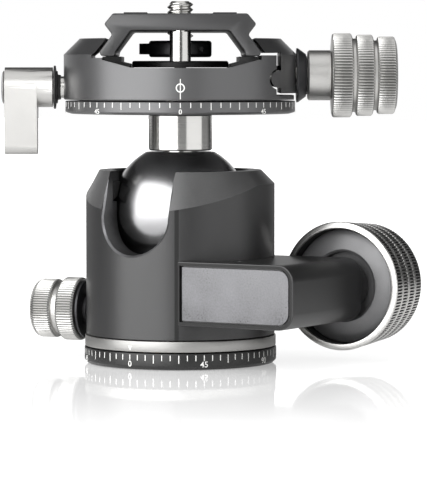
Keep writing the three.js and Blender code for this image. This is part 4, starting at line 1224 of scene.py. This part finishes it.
@dataclass
class PanLock(FlutedUnit):
    """Small knurled knob on the left, which locks the panning base."""

    body: str = "pan_lock_knob"
    at: Spot = (0.0, 0.0, PAN_LOCK_Z)
    turn: float = PAN_LOCK_TURN
    start: float = 25.5
    band: float = 5.0
    groove: float = 1.5
    end: float = 0.66
    inner_radius: float = 7.8
    outer_radius: float = 7.25
    collar_profile: Outline = (
        (1.9, 23.35), (3.9, 23.65), (3.9, 24.4), (6.6, 24.4), (7.1, 24.65), (7.1, 25.15), (1.9, 25.15),
    )

    def make(self) -> None:
        """Build two knurled bands with a groove between them, and the dished collar inside them."""
        first = self.start + self.band
        second = first + self.groove
        last = second + self.band
        inner, outer = self.inner_radius, self.outer_radius
        self.grip("pan_knob_grip", [
            (0, self.start), (inner - 0.9, self.start), (inner - 0.35, self.start + 0.2),
            (inner, self.start + 0.7), (inner, first - 0.6), (inner - 0.35, first - 0.15),
            (outer - 0.9, first + 0.1), (outer - 0.9, second - 0.1), (outer - 0.3, second + 0.15),
            (outer, second + 0.6), (outer, last - 0.6), (outer - 0.25, last),
            (outer - 0.7, last + self.end - 0.2), (outer - 1.3, last + self.end),
            (0, last + self.end),
        ], [(self.start + 0.1, first - 0.1, inner), (second + 0.1, last + 0.1, outer)], PAN_SILVER)
        self.lathe("pan_knob_collar", self.collar_profile, DARK, "pan_lock_collar", 96)


@dataclass
class BallAndStem(Unit):
    """Polished ball with its satin stem, and the disc that the clamp turns on."""

    body: str = "stem"
    ball_radius: float = 17.0
    ball_centre: float = 36.6
    ball_top: float = 51.4
    ball_bore: float = 4.3
    ball_bore_foot: float = 42.0
    ball_pit: float = 3.4
    ball_pit_top: float = 40.0
    stud: float = 4.0
    stud_foot: float = 42.3
    stem_radius: float = 7.75
    stem_bottom: float = 51.7
    stem_top: float = 60.4
    spigot: float = 5.7
    tapping: float = 1.8
    tapping_foot: float = 65.2
    disc_bore: float = 6.0
    disc_radius: float = 28.0
    disc_bottom: float = 60.7
    disc_top: float = 63.8
    mark_gap: float = 0.2
    text_rise: float = 0.22
    hub_top: float = 71.8
    cap_profile: Outline = (
        (1.8, 71.9), (11.75, 71.9), (11.75, 73.15), (11.4, 73.5), (3.3, 73.5), (3.3, 72.4), (1.8, 72.4),
    )

    def ball(self) -> None:
        """The ball, flat on top, bored from below."""
        pit = math.sqrt(self.ball_radius ** 2 - self.ball_pit ** 2)
        low = math.degrees(math.asin(-pit / self.ball_radius))
        high = math.degrees(math.asin((self.ball_top - self.ball_centre) / self.ball_radius))
        self.lathe("polished_ball", [
            (0, self.ball_pit_top), (self.ball_pit, self.ball_pit_top),
            *arc((0, self.ball_centre), self.ball_radius, low, high, 48),
            (self.ball_bore, self.ball_top), (self.ball_bore, self.ball_bore_foot), (0, self.ball_bore_foot),
        ], CHROME, "ball", angle=25, body="ball")

    def stem(self) -> None:
        """The stem with its stud below and its spigot above."""
        radius, bottom, top = self.stem_radius, self.stem_bottom, self.stem_top
        self.lathe("satin_stem", [
            (0, self.stud_foot), (self.stud, self.stud_foot), (self.stud, bottom), (radius - 0.35, bottom),
            (radius, bottom + 0.35), (radius, top - 0.25), (radius - 0.25, top), (self.spigot, top),
            (self.spigot, self.hub_top), (self.tapping, self.hub_top), (self.tapping, self.tapping_foot),
            (0, self.tapping_foot),
        ], STEM_SILVER, "stem", angle=25)

    def disc(self) -> None:
        """The black scale disc and its graduations."""
        radius, bottom, top = self.disc_radius, self.disc_bottom, self.disc_top
        self.lathe("pan_scale_disc", [
            (self.disc_bore, bottom), (radius - 1.4, bottom), (radius - 0.25, bottom + 0.35),
            (radius, bottom + 0.65), (radius, top - 0.15), (radius - 0.15, top), (self.disc_bore, top),
        ], DISC_BLACK, "pan_disc")
        Graduations(radius, top - self.mark_gap, bottom + self.text_rise, CLAMP_TURN, short=1.2, long=1.7,
                    width=0.2, text_height=1.15).make("pan_marks", self.body)

    def make(self) -> None:
        """Build the ball, the stem, the disc and the black cap that keeps the clamp on the hub."""
        self.ball()
        self.stem()
        self.disc()
        self.lathe("hub_cap", self.cap_profile, PLASTIC, "retaining_cap")


@dataclass
class ClampUnit(Unit):
    """Round panning clamp: the body with its fixed jaw, and the moving jaw."""

    body: str = "clamp"
    lay: Lay = Lay.OUT
    turn: float = CLAMP_TURN
    radius: float = 28.4
    bottom: float = 64.1
    top: float = 78.9
    edge: float = 0.25
    soft_edge: float = 0.16
    chamfer: float = 3.9
    foot_half: float = 27.5
    foot_top: float = 65.2
    floor: float = 71.8
    floor_half: float = 11.5
    ledge_half: float = 18.6
    ledge: float = 73.7
    split: float = 23.0
    split_gap: float = 1.1
    shelf: float = 74.8
    shelf_start: float = 19.3
    nose: Point = (23.8, 69.1)
    nose_radius: float = 2.1
    nose_gap: float = 0.45
    dovetail_heel: float = 20.2
    dovetail_tip: float = 17.8
    dovetail_top: float = 78.6
    relief: float = 21.2
    relief_floor: float = 74.2
    heel_height: float = 75.6
    jaw_bottom: float = 65.7
    jaw_heel: float = 75.5
    hub_bore: float = 8.5
    hub_span: Point = (60.0, 75.0)
    screw_bore: float = 2.6
    screw_start: float = 15.3
    flange_bore: float = 6.9
    flange_start: float = 28.0
    jaw_bore_start: float = 11.5
    lever_bore: float = 2.95
    rod_spread: float = 12.625
    rod_radius: float = 1.8
    rod_bore: float = 2.1
    rod_bore_start: float = 14.3
    rod_start: float = 15.0
    rod_end: float = 23.9
    bore_end: float = 32.0
    strip_length: float = 38.0
    # Wear strip and, below it, a black wedge down to the slope that stands in for the channel's shade
    strip_and_shade_section: Outline = (
        (11.95, 71.94), (11.95, 72.8), (14.0, 73.3), (14.0, 74.5), (18.5, 74.5), (18.5, 73.7),
    )
    mark_circle: Point = (0.8, 1.08)
    mark_line: Point = (64.4, 69.2)
    mark_half: float = 0.1

    def part(self, name: str, section: Outline, bores: Iterable[Piece], body: str, node: str) -> None:
        """Cut a round blank with a chamfered top to a section, and bore, soften and dress it.

        Args:
            name: Name of the new piece.
            section: Its outline, as (x, z).
            bores: Cutters of its bores.
            body: Body that it rides on.
            node: CAD node that it replaces.
        """
        far = self.radius + OVERRUN
        piece = turned(name, [
            (0, self.bottom), (self.radius - self.edge, self.bottom), (self.radius, self.bottom + self.edge),
            (self.radius, self.top - self.chamfer), (self.radius - self.chamfer, self.top), (0, self.top),
        ], 180)
        carve(piece, prism("section", section, -far, far, Lay.BACK), "INTERSECT")
        for bore in bores:
            carve(piece, bore)
        soften(piece, self.soft_edge, 28)
        self.close(piece, CLAMP_BLACK, node, 20, body=body)

    def bore(self, radius: float, start: float, end: float, z: float = JAW_Z, y: float = 0.0) -> Piece:
        """Build the cutter of a bore along the clamp's X."""
        return rod(radius, (start, end), 40, self.lay, (0, y, z))

    def fixed_jaw(self) -> None:
        """Body with the channel, the fixed jaw and the shelf under the moving jaw."""
        far, high = self.radius + OVERRUN, self.top + OVERRUN
        radius = self.nose_radius + self.nose_gap
        reach = math.degrees(math.acos((self.nose[0] - self.split) / radius))
        tip = -self.dovetail_tip
        section = [
            (-far, self.bottom - OVERRUN), (self.foot_half, self.bottom - OVERRUN),
            (self.foot_half, self.foot_top), (self.split, self.foot_top),
            *arc(self.nose, radius, 180 + reach, 180 - reach, 16),
            (self.split, self.shelf), (self.shelf_start, self.shelf), (self.shelf_start, self.ledge),
            (self.ledge_half, self.ledge), (self.floor_half, self.floor), (-self.floor_half, self.floor),
            (-self.ledge_half, self.ledge), (-self.ledge_half, self.relief_floor),
            (-self.relief, self.relief_floor), (-self.relief, self.shelf),
            (-self.dovetail_heel, self.heel_height), (tip, self.dovetail_top), (tip, high), (-far, high),
        ]
        self.part("clamp_round", section, [
            rod(self.hub_bore, self.hub_span, 72), self.bore(self.screw_bore, self.screw_start, self.radius),
            self.bore(self.lever_bore, -self.bore_end, 0, LEVER_Z),
            *(self.bore(self.rod_bore, self.rod_bore_start, self.radius, y=y)
              for y in (-self.rod_spread, self.rod_spread)),
        ], self.body, "clamp_body")

    def moving_jaw(self) -> None:
        """Moving jaw with its half-round nose and overhanging lip."""
        far, high = self.radius + OVERRUN, self.top + OVERRUN
        face = self.split + self.split_gap
        reach = math.degrees(math.acos((self.nose[0] - face) / self.nose_radius))
        section = [
            (far, self.jaw_bottom), (far, high), (self.dovetail_tip, high),
            (self.dovetail_tip, self.dovetail_top), (self.dovetail_heel, self.jaw_heel),
            (face, self.jaw_heel), *arc(self.nose, self.nose_radius, 180 - reach, 180 + reach, 16),
            (face, self.jaw_bottom),
        ]
        self.part("clamp_jaw", section, [
            self.bore(self.screw_bore, self.jaw_bore_start, self.bore_end),
            self.bore(self.flange_bore, self.flange_start, self.bore_end),
            *(self.bore(self.rod_bore, self.jaw_bore_start, self.rod_end + 0.1, y=y)
              for y in (-self.rod_spread, self.rod_spread)),
        ], "jaw", "jaw")

    def rods(self) -> None:
        """Two guide rods, fixed in the body, that the jaw slides on."""
        radius, end = self.rod_radius, self.rod_end
        for y, name in ((-self.rod_spread, "front"), (self.rod_spread, "back")):
            self.at = (0, y, JAW_Z)
            self.lathe(f"jaw_guide_{name}", [
                (0, self.rod_start), (radius, self.rod_start), (radius, end - FINE_EDGE),
                (radius - FINE_EDGE, end), (0, end),
            ], STEEL, f"guide_rod_{name}", 40)

    def wear_strips(self) -> None:
        """Black wear strips under the plate's feet, widened into wedges down the channel's slopes that stand
        in for the channel's shade.
        """
        half = self.strip_length / 2
        for side, name in ((-1, "left"), (1, "right")):
            section = [(side * x, z) for x, z in self.strip_and_shade_section]
            strip = prism(f"wear_pad_and_shade_{name}", section, -half, half, Lay.BACK)
            self.close(strip, PLASTIC, f"wear_strip_{name}")

    def index_mark(self) -> None:
        """Line with a small circle on the clamp's front, over the disc's zero."""
        low, high = self.mark_line
        line = block("index_line", (-self.mark_half, -self.radius - MARK_LIFT, low),
                     (self.mark_half, -self.radius + MARK_LIFT, high))
        inner, outer = self.mark_circle
        circle = turned("index_circle", [
            (inner, -MARK_LIFT), (outer, -MARK_LIFT), (outer, MARK_LIFT), (inner, MARK_LIFT),
        ], 48)
        move(circle, STANDING[Lay.BACK])
        wrap(circle, self.radius, lift=LEVER_Z)
        mark = merge_pieces("clamp_index", [line, circle])
        put(mark, turn=self.turn)
        dress(mark, MARKING, self.body)

    def make(self) -> None:
        """Build the clamp."""
        self.fixed_jaw()
        self.moving_jaw()
        self.rods()
        self.wear_strips()
        self.index_mark()


@dataclass
class JawKnob(FlutedUnit):
    """Knob that closes the jaw: flange, smooth collar and three knurled bands."""

    body: str = "jaw_knob"
    at: Spot = (0.0, 0.0, JAW_Z)
    turn: float = CLAMP_TURN
    flute_count: int = 84
    flute_depth: float = 0.36
    screw_bore: float = 2.6
    bore_span: Point = (30.0, 50.3)
    start: float = 36.9
    bands: Outline = ((10.25, 4.9), (9.9, 4.2), (9.45, 4.4))
    groove: float = 0.95
    groove_depth: float = 0.95
    flange_profile: Outline = (
        (2.6, 28.3), (6.6, 28.3), (6.6, 28.7), (5.2, 30.6), (4.7, 30.65), (4.7, 30.8), (2.6, 30.8),
    )
    collar_profile: Outline = (
        (2.6, 31.0), (5.7, 31.0), (6.1, 31.35), (6.1, 36.5), (5.9, 36.7), (2.6, 36.7),
    )

    def knob(self) -> None:
        """Three knurled bands parted by round grooves, smaller towards the end."""
        place = self.start
        profile = [(0, place), (self.bands[0][0] - 1.5, place)]
        knurled = []
        for index, (radius, width) in enumerate(self.bands):
            end = place + width
            profile += [
                (radius - 0.6, place + 0.05), (radius - 0.2, place + 0.2), (radius, place + 0.5),
                (radius, end - 0.5), (radius - 0.2, end - 0.2), (radius - 0.6, end - 0.02),
            ]
            knurled.append((place + 0.1, end - 0.1, radius))
            if index + 1 < len(self.bands):
                floor = self.bands[index + 1][0] - self.groove_depth
                profile += [(floor, end + 0.2), (floor, end + self.groove - 0.2)]
            place = end + self.groove
        profile += [
            (self.bands[-1][0] - 1.6, end + 0.35), (6.9, end + 0.35), (6.5, end + 0.1), (0, end + 0.1),
        ]
        self.grip("jaw_knob_grip", profile, knurled, JAW_SILVER, rod(self.screw_bore, self.bore_span))

    def make(self) -> None:
        """Build the black flange against the jaw, the silver collar and the knob."""
        self.lathe("jaw_knob_flange", self.flange_profile, DARK, "jaw_flange")
        self.lathe("jaw_knob_neck", self.collar_profile, JAW_SILVER, "jaw_collar")
        self.knob()


@dataclass
class PanLever(Unit):
    """Lever that locks the panning clamp."""

    body: str = "pan_lever"
    lay: Lay = Lay.OUT
    at: Spot = (0.0, 0.0, LEVER_Z)
    turn: float = CLAMP_TURN
    edge: float = 0.35
    boss_radius: float = 4.85
    boss: Point = (-35.2, -31.1)
    paddle: Point = (-42.7, -34.8)
    reach: float = 16.3
    tip_half: float = 4.1
    tip_corner: float = 2.5
    bore: float = 2.95
    bore_span: Point = (-34.3, -30.0)
    washer_profile: Outline = (
        (2.95, -30.8), (5.25, -30.8), (5.25, -30.35), (4.0, -30.2), (3.9, -29.9), (3.1, -29.8), (2.95, -29.1),
    )
    shaft_profile: Outline = ((0, -34.0), (2.65, -34.0), (2.65, -11.5), (2.35, -11.2), (0, -11.2))
    cap_profile: Outline = (
        (0, -43.5), (2.9, -43.48), (3.6, -43.35), (4.0, -43.1), (4.0, -43.0), (0, -43.0),
    )

    def lever(self) -> None:
        """Round boss that turns down into a flat paddle."""
        z = self.at[2]
        corner = self.tip_corner
        low, side = z - self.reach + corner, self.tip_half - corner
        lever = prism("lever_paddle", [
            *arc((0, z), self.boss_radius, 0, 180, 40), *arc((-side, low), corner, 184, 270, 10),
            *arc((side, low), corner, 270, 356, 10),
        ], *self.paddle, self.lay)
        carve(lever, rod(self.boss_radius, self.boss, 96, self.lay, self.at), "UNION")
        carve(lever, rod(self.bore, self.bore_span, 40, self.lay, self.at))
        soften(lever, self.edge, 35, 3)
        self.close(lever, LEVER_SILVER, "pan_lever", 35)

    def make(self) -> None:
        """Build the lever, its black washer, its steel spindle and the thin cap on its outer face."""
        self.lever()
        self.lathe("lever_black_washer", self.washer_profile, PLASTIC, "lever_washer", 96)
        self.lathe("lever_shaft", self.shaft_profile, STEEL, "lever_spindle", 64)
        self.lathe("lever_end_cap", self.cap_profile, LEVER_SILVER, "lever_cap", 96)


@dataclass
class PlateUnit(Unit):
    """Quick-release plate with its pads, stop pins, camera screw and bail."""

    body: str = "plate"
    turn: float = CLAMP_TURN
    length: float = 56.0
    bottom: float = 74.6
    top: float = 84.6
    edge: float = 0.45
    half_section: Outline = (
        (15.8, 84.6), (17.9, 82.1), (16.0, 79.6), (19.0, 75.6), (18.7, 74.6), (15.3, 74.6),
        (15.3, 75.6), (11.6, 80.6),
    )
    well: Outline = ((3.6, 81.9), (5.8, 81.9))
    pin_bore: float = 1.8
    pin_bore_top: float = 83.2
    pad_centre: float = 10.55
    pad_width: float = 5.5
    pad_length: float = 50.0
    pad_gap: float = 0.3
    pad_bed: float = 0.8
    pad_span: Point = (84.1, 84.9)
    rib_pitch: float = 1.05
    rib_half: float = 0.14
    rib_floor: float = 84.7
    rib_height: float = 0.8
    pin_spread: float = 25.0
    pin_profile: Outline = (
        (0, 73.1), (2.2, 73.1), (2.5, 73.4), (2.5, 80.3), (1.5, 80.3), (1.5, 82.9), (0, 82.9),
    )
    head_profile: Outline = (
        (0, 74.4), (7.1, 74.4), (7.45, 74.55), (7.65, 74.9), (7.65, 77.9), (7.4, 78.3), (7.1, 78.4),
    )
    coin_slot: tuple[Spot, Spot] = ((-9, -0.6, 73), (9, 0.6, 75.6))
    thread_radius: float = 3.17
    thread_core: float = 2.62
    thread_pitch: float = 1.27
    thread_foot: float = 79.0
    thread_end: float = 0.6
    screw_top: float = 88.0
    screw_tip: float = 0.5
    axle_at: Spot = (5.0, 0.0, 76.4)
    axle_bore: float = 0.62
    axle_profile: Outline = ((0, -8.4), (0.5, -8.4), (0.6, -8.3), (0.6, 8.3), (0.5, 8.4), (0, 8.4))
    bail_radii: Point = (7.95, 10.0)
    bail_span: Point = (75.1, 77.7)
    bail_opening: tuple[Spot, Spot] = ((6.9, -11, 74), (12, 11, 79))

    def plate(self) -> None:
        """The plate's arched dovetail section, with its grooves and bores."""
        section = [*self.half_section, *[(-x, z) for x, z in reversed(self.half_section)]]
        plate = prism("dovetail_plate", section, -self.length / 2, self.length / 2, Lay.BACK)
        soften(plate, self.edge, 25, 3)
        side = self.pad_width / 2 + self.pad_gap
        end = self.pad_length / 2 + self.pad_gap
        low, high = self.top - self.pad_bed, self.top + OVERRUN
        for x in (-self.pad_centre, self.pad_centre):
            carve(plate, block("groove", (x - side, -end, low), (x + side, end, high)))
        for y in (-self.pin_spread, self.pin_spread):
            carve(plate, rod(self.pin_bore, (self.bottom, self.pin_bore_top), at=(0, y, 0)))
        neck, mouth = self.well
        carve(plate, turned("well", [(0, self.bottom), (neck[0], self.bottom), *self.well, (mouth[0], high),
                                     (0, high)], 96))
        self.close(plate, PLATE_BLACK, "plate", 25)

    def pads(self) -> None:
        """Two ribbed rubber pads, set into the top."""
        half, end = self.pad_width / 2, self.pad_length / 2
        low, high = self.pad_span
        for side, name in ((-1, "left"), (1, "right")):
            x = side * self.pad_centre
            pad = block(f"rubber_pad_{name}", (x - half, -end, low), (x + half, end, high))
            for rib in range(-2, 3):
                middle = x + rib * self.rib_pitch
                foot = (middle - self.rib_half, self.pad_bed - end, self.rib_floor)
                head = (middle + self.rib_half, end - self.pad_bed, self.rib_floor + self.rib_height)
                carve(pad, block("rib", foot, head))
            self.close(pad, RUBBER, f"plate_pad_{name}")

    def stop_pins(self) -> None:
        """Two round stop pins that hang under the plate."""
        for side, name in ((-1, "front"), (1, "back")):
            self.at = (0, side * self.pin_spread, 0)
            self.lathe(f"bright_stop_pin_{name}", self.pin_profile, STEM_SILVER, f"stop_pin_{name}", 64)

    def thread(self) -> Piece:
        """Wind the camera screw's thread.

        Returns:
            The thread, closed at both ends.
        """
        core, crest, foot = self.thread_core, self.thread_radius, self.thread_foot
        tooth = [(radius, 0.0, foot + rise) for radius, rise in (
            (core - 0.1, 0.0), (core, 0.12), (crest, 0.52), (crest, 0.68), (core, 1.08), (core - 0.1, 1.2),
        )]
        thread = draw("thread", [*tooth, tooth[0]])
        close_up(thread)
        rounds = int((self.screw_top - self.thread_end - foot) / self.thread_pitch)
        modify(thread, "SCREW", angle=2 * math.pi, screw_offset=self.thread_pitch * MM, steps=48,
               render_steps=48, iterations=rounds)
        edit(thread)
        bpy.ops.mesh.fill_holes(sides=0)
        close_up(thread)
        return thread

    def axle_cutter(self) -> Piece:
        """Build the cutter of the hole that the bail's pin sits in."""
        return rod(self.axle_bore, (-10, 10), 24, Lay.BACK, self.axle_at)

    def camera_screw(self) -> None:
        """Camera screw: black head, and a steel thread that rises through the plate."""
        core, head_top = self.thread_core, self.head_profile[-1][1]
        screw = turned("camera_bolt", [
            *self.head_profile, (core, head_top), (core, self.screw_top - self.screw_tip),
            (core - self.screw_tip, self.screw_top), (0, self.screw_top),
        ], 96)
        carve(screw, block("slot", *self.coin_slot))
        carve(screw, self.axle_cutter())
        screw = merge_pieces("camera_bolt", [screw, self.thread()])
        self.close(screw, DARK, "camera_screw", others=[STEEL], body="camera_screw")
        paint(screw, find(screw, lambda place: place.z > head_top and place.xy.length < 4))

    def bail(self) -> None:
        """Wire bail round the screw's head, and the pin that it turns on."""
        inner, outer = self.bail_radii
        low, high = self.bail_span
        ring = turned("bail_ring", [(inner, low), (outer, low), (outer, high), (inner, high)], 96)
        carve(ring, block("opening", *self.bail_opening))
        carve(ring, self.axle_cutter())
        soften(ring, self.edge, 40, 3)
        self.close(ring, DARK, "screw_bail", body="screw_bail")
        self.lay, self.at = Lay.BACK, self.axle_at
        self.lathe("bail_axle", self.axle_profile, DARK, "bail_pin", 24, body="camera_screw")

    def make(self) -> None:
        """Build the plate."""
        self.plate()
        self.pads()
        self.stop_pins()
        self.camera_screw()
        self.bail()


@dataclass
class CarriedNodes:
    """CAD nodes whose shape is kept, by finish."""

    nodes: tuple[tuple[Finish, str], ...] = (
        (STEEL, "thread_insert pan_retainer retainer_screw_1 retainer_screw_2 retainer_screw_3 push_pin"),
        (STEEL, "lock_spindle pan_lock_screw ball_cross_pin cap_screw jaw_screw"),
        (BRONZE, "thrust_washer pan_brake_pad pan_hub clamp_brake_pad"),
        (DARK, "bottom_plug"),
        (SEAT, "upper_seat lower_seat"),
        (PLASTIC, "screw_clip"),
    )

    def make(self) -> None:
        """Give each kept node its material."""
        for finish, names in self.nodes:
            for name in names.split():
                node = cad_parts[name]
                node.data.materials.clear()
                node.data.materials.append(finish.material())
                LOG.info("%s keeps its shape and gets %s", name, finish.name)


@dataclass
class Studio:
    """Camera at the photograph's angle, pale floor and soft lamps. Lengths are in metres."""

    azimuth: float = 31.0
    distance: float = 0.75
    eye_height: float = 0.072
    aim_right: float = 0.0081
    aim_height: float = 0.0273
    lens: float = 221.0
    sensor: float = 36.0
    clip: float = 0.01
    lamp_aim: Spot = (0.0, 0.0, 0.04)
    lamps: tuple[tuple[str, float, float, float, Point, float], ...] = (
        ("key", -15.0, 18.0, 0.8, (1.16, 0.86), 14.5),
        ("fill", 84.0, 18.0, 0.8, (1.0, 0.7), 2.8),
        ("over", 31.0, 80.0, 0.9, (0.9, 0.9), 3.0),
    )
    behind: Spot = (-0.63, 0.777, 0.0)
    behind_span: Point = (0.2, 0.65)
    ambient: float = 0.11
    surround: float = 0.13
    darkest: float = 0.02
    backdrop_rise: Point = (0.18, 0.35)
    backdrop_span: Point = (0.6, 0.8)
    first_bounce: float = 2.5
    floor_size: float = 6.0
    floor_drop: float = -0.0002
    floor_white: float = 0.86
    floor_roughness: float = 0.05
    floor_specular: float = 0.35
    floor_shine: float = 0.4
    floor_glow: Point = (0.28, 0.8)
    floor_fade: Point = (0.03, 0.25)

    def bearing(self, azimuth: float, elevation: float = 0.0) -> Vector:
        """Find the direction from the object at two angles in degrees, as a unit length."""
        a, e = math.radians(azimuth), math.radians(elevation)
        return Vector((math.sin(a) * math.cos(e), -math.cos(a) * math.cos(e), math.sin(e)))

    def aim(self, data: bpy.types.ID, eye: Vector, target: Vector) -> Piece:
        """Set up a camera or a lamp and aim it.

        Args:
            data: The camera or lamp.
            eye: Its place.
            target: What it faces.

        Returns:
            Its object.
        """
        thing = bpy.data.objects.new(data.name, data)
        bpy.context.scene.collection.objects.link(thing)
        thing.location = eye
        thing.rotation_mode = "QUATERNION"
        thing.rotation_quaternion = (target - eye).to_track_quat("-Z", "Y")
        return thing

    def camera(self) -> None:
        """Place the camera and aim it a little to the right of the pan axis."""
        data = bpy.data.cameras.new("camera")
        data.lens = self.lens
        data.sensor_width = self.sensor
        data.clip_start = self.clip
        eye = self.bearing(self.azimuth) * self.distance + Vector((0, 0, self.eye_height))
        target = self.bearing(self.azimuth + 90) * self.aim_right + Vector((0, 0, self.aim_height))
        bpy.context.scene.camera = self.aim(data, eye, target)

    def lamp(self, name: str, azimuth: float, elevation: float, reach: float, size: Point,
             power: float) -> None:
        """Add a soft lamp that faces the object and that the camera doesn't see.

        Args:
            name: Name of the lamp.
            azimuth: Bearing from the object, as the camera's, in degrees.
            elevation: Angle above the horizon, in degrees.
            reach: Distance.
            size: Width and height.
            power: Strength in watts.
        """
        data = bpy.data.lights.new(name, "AREA")
        data.shape = "RECTANGLE"
        data.size, data.size_y = size
        data.energy = power
        target = Vector(self.lamp_aim)
        self.aim(data, target + self.bearing(azimuth, elevation) * reach, target).visible_camera = False

    def blend(self, tree: Tree, share: Socket, first: object, second: object) -> Socket:
        """Mix two numbers or outputs by a share."""
        return add_node(tree, "Mix", {0: share, 2: first, 3: second}, data_type="FLOAT").outputs[0]

    def ramp(self, tree: Tree, value: Socket, span: Point, ends: Point) -> Socket:
        """Ease an output from one level to another over a span."""
        levels = dict(zip(("Value", "From Min", "From Max", "To Min", "To Max"), (value, *span, *ends)))
        return add_node(tree, "MapRange", levels, interpolation_type="SMOOTHSTEP").outputs[0]

    def rearward(self, tree: Tree, direction: Socket) -> Socket:
        """Find how much a unit direction points behind the object, from -1 to 1."""
        both = {0: direction, 1: self.behind}
        return add_node(tree, "VectorMath", both, operation="DOT_PRODUCT").outputs["Value"]

    def world(self) -> None:
        """White to the camera, dim round the object, and black behind it but for a low white backdrop."""
        world = bpy.data.worlds.new("studio")
        world.use_nodes = True
        bpy.context.scene.world = world
        tree = world.node_tree
        tree.nodes.clear()
        place = add_node(tree, "TexCoord", {}).outputs["Generated"]
        height = add_node(tree, "SeparateXYZ", {0: place}).outputs["Z"]
        ray = add_node(tree, "LightPath", {}).outputs
        back = self.rearward(tree, place)
        dim = self.ramp(tree, back, self.behind_span, (self.surround, self.darkest))
        low = self.ramp(tree, height, self.backdrop_rise, (1.0, 0.0))
        near = self.ramp(tree, back, self.backdrop_span, (0.0, 1.0))
        first = compute(tree, "LESS_THAN", ray["Ray Depth"], self.first_bounce)
        level = self.blend(tree, compute(tree, "MULTIPLY", low, near, first), dim, 1.0)
        level = self.blend(tree, ray["Is Glossy Ray"], self.ambient, level)
        seen = compute(tree, "MAXIMUM", ray["Is Camera Ray"], ray["Is Transmission Ray"])
        light = {"Color": (1, 1, 1, 1), "Strength": self.blend(tree, seen, level, 1.0)}
        add_node(tree, "OutputWorld", {"Surface": add_node(tree, "Background", light).outputs[0]})

    def floor(self) -> None:
        """A wide pale floor that keeps the shadow and a faint reflection, and whitens with distance."""
        leave_edit()
        bpy.ops.mesh.primitive_plane_add(size=self.floor_size, location=(0, 0, 0))
        floor = bpy.context.object
        floor.name = "floor"
        floor.data.transform(Matrix.Translation((0, 0, self.floor_drop)))
        material = bpy.data.materials.new("floor_white")
        material.use_nodes = True
        tree = material.node_tree
        place = add_node(tree, "TexCoord", {}).outputs["Object"]
        reach = add_node(tree, "VectorMath", {0: place}, operation="LENGTH").outputs["Value"]
        side = add_node(tree, "VectorMath", {0: place}, operation="NORMALIZE").outputs[0]
        fade = self.ramp(tree, reach, self.floor_fade, self.floor_glow)
        shine = self.ramp(tree, self.rearward(tree, side), self.behind_span, (self.floor_shine, self.darkest))
        ray = add_node(tree, "LightPath", {}).outputs
        seen = compute(tree, "MAXIMUM", ray["Is Camera Ray"], ray["Is Transmission Ray"])
        level = self.blend(tree, ray["Is Glossy Ray"], 0.0, shine)
        feed(tree, tree.nodes["Principled BSDF"], {
            "Base Color": (*[self.floor_white] * 3, 1), "Roughness": self.floor_roughness,
            "Specular IOR Level": self.floor_specular,
            "Emission Color": (1, 1, 1, 1), "Emission Strength": self.blend(tree, seen, level, fade),
        })
        floor.data.materials.append(material)

    def make(self) -> None:
        """Set up the studio."""
        bpy.context.scene.view_settings.view_transform = "Standard"
        self.camera()
        self.world()
        self.floor()
        for lamp in self.lamps:
            self.lamp(*lamp)


def main() -> None:
    """Build every sub-assembly."""
    logging.basicConfig(level=logging.INFO, format="%(name)s: %(message)s")
    Studio().make()
    for unit in (BaseUnit(), Cup(), MainLock(), PanLock(), BallAndStem(), ClampUnit(), JawKnob(), PanLever(),
                 PlateUnit(), CarriedNodes()):
        unit.make()
        LOG.info("%s is done", type(unit).__name__)


if __name__ == "__main__":
    main()
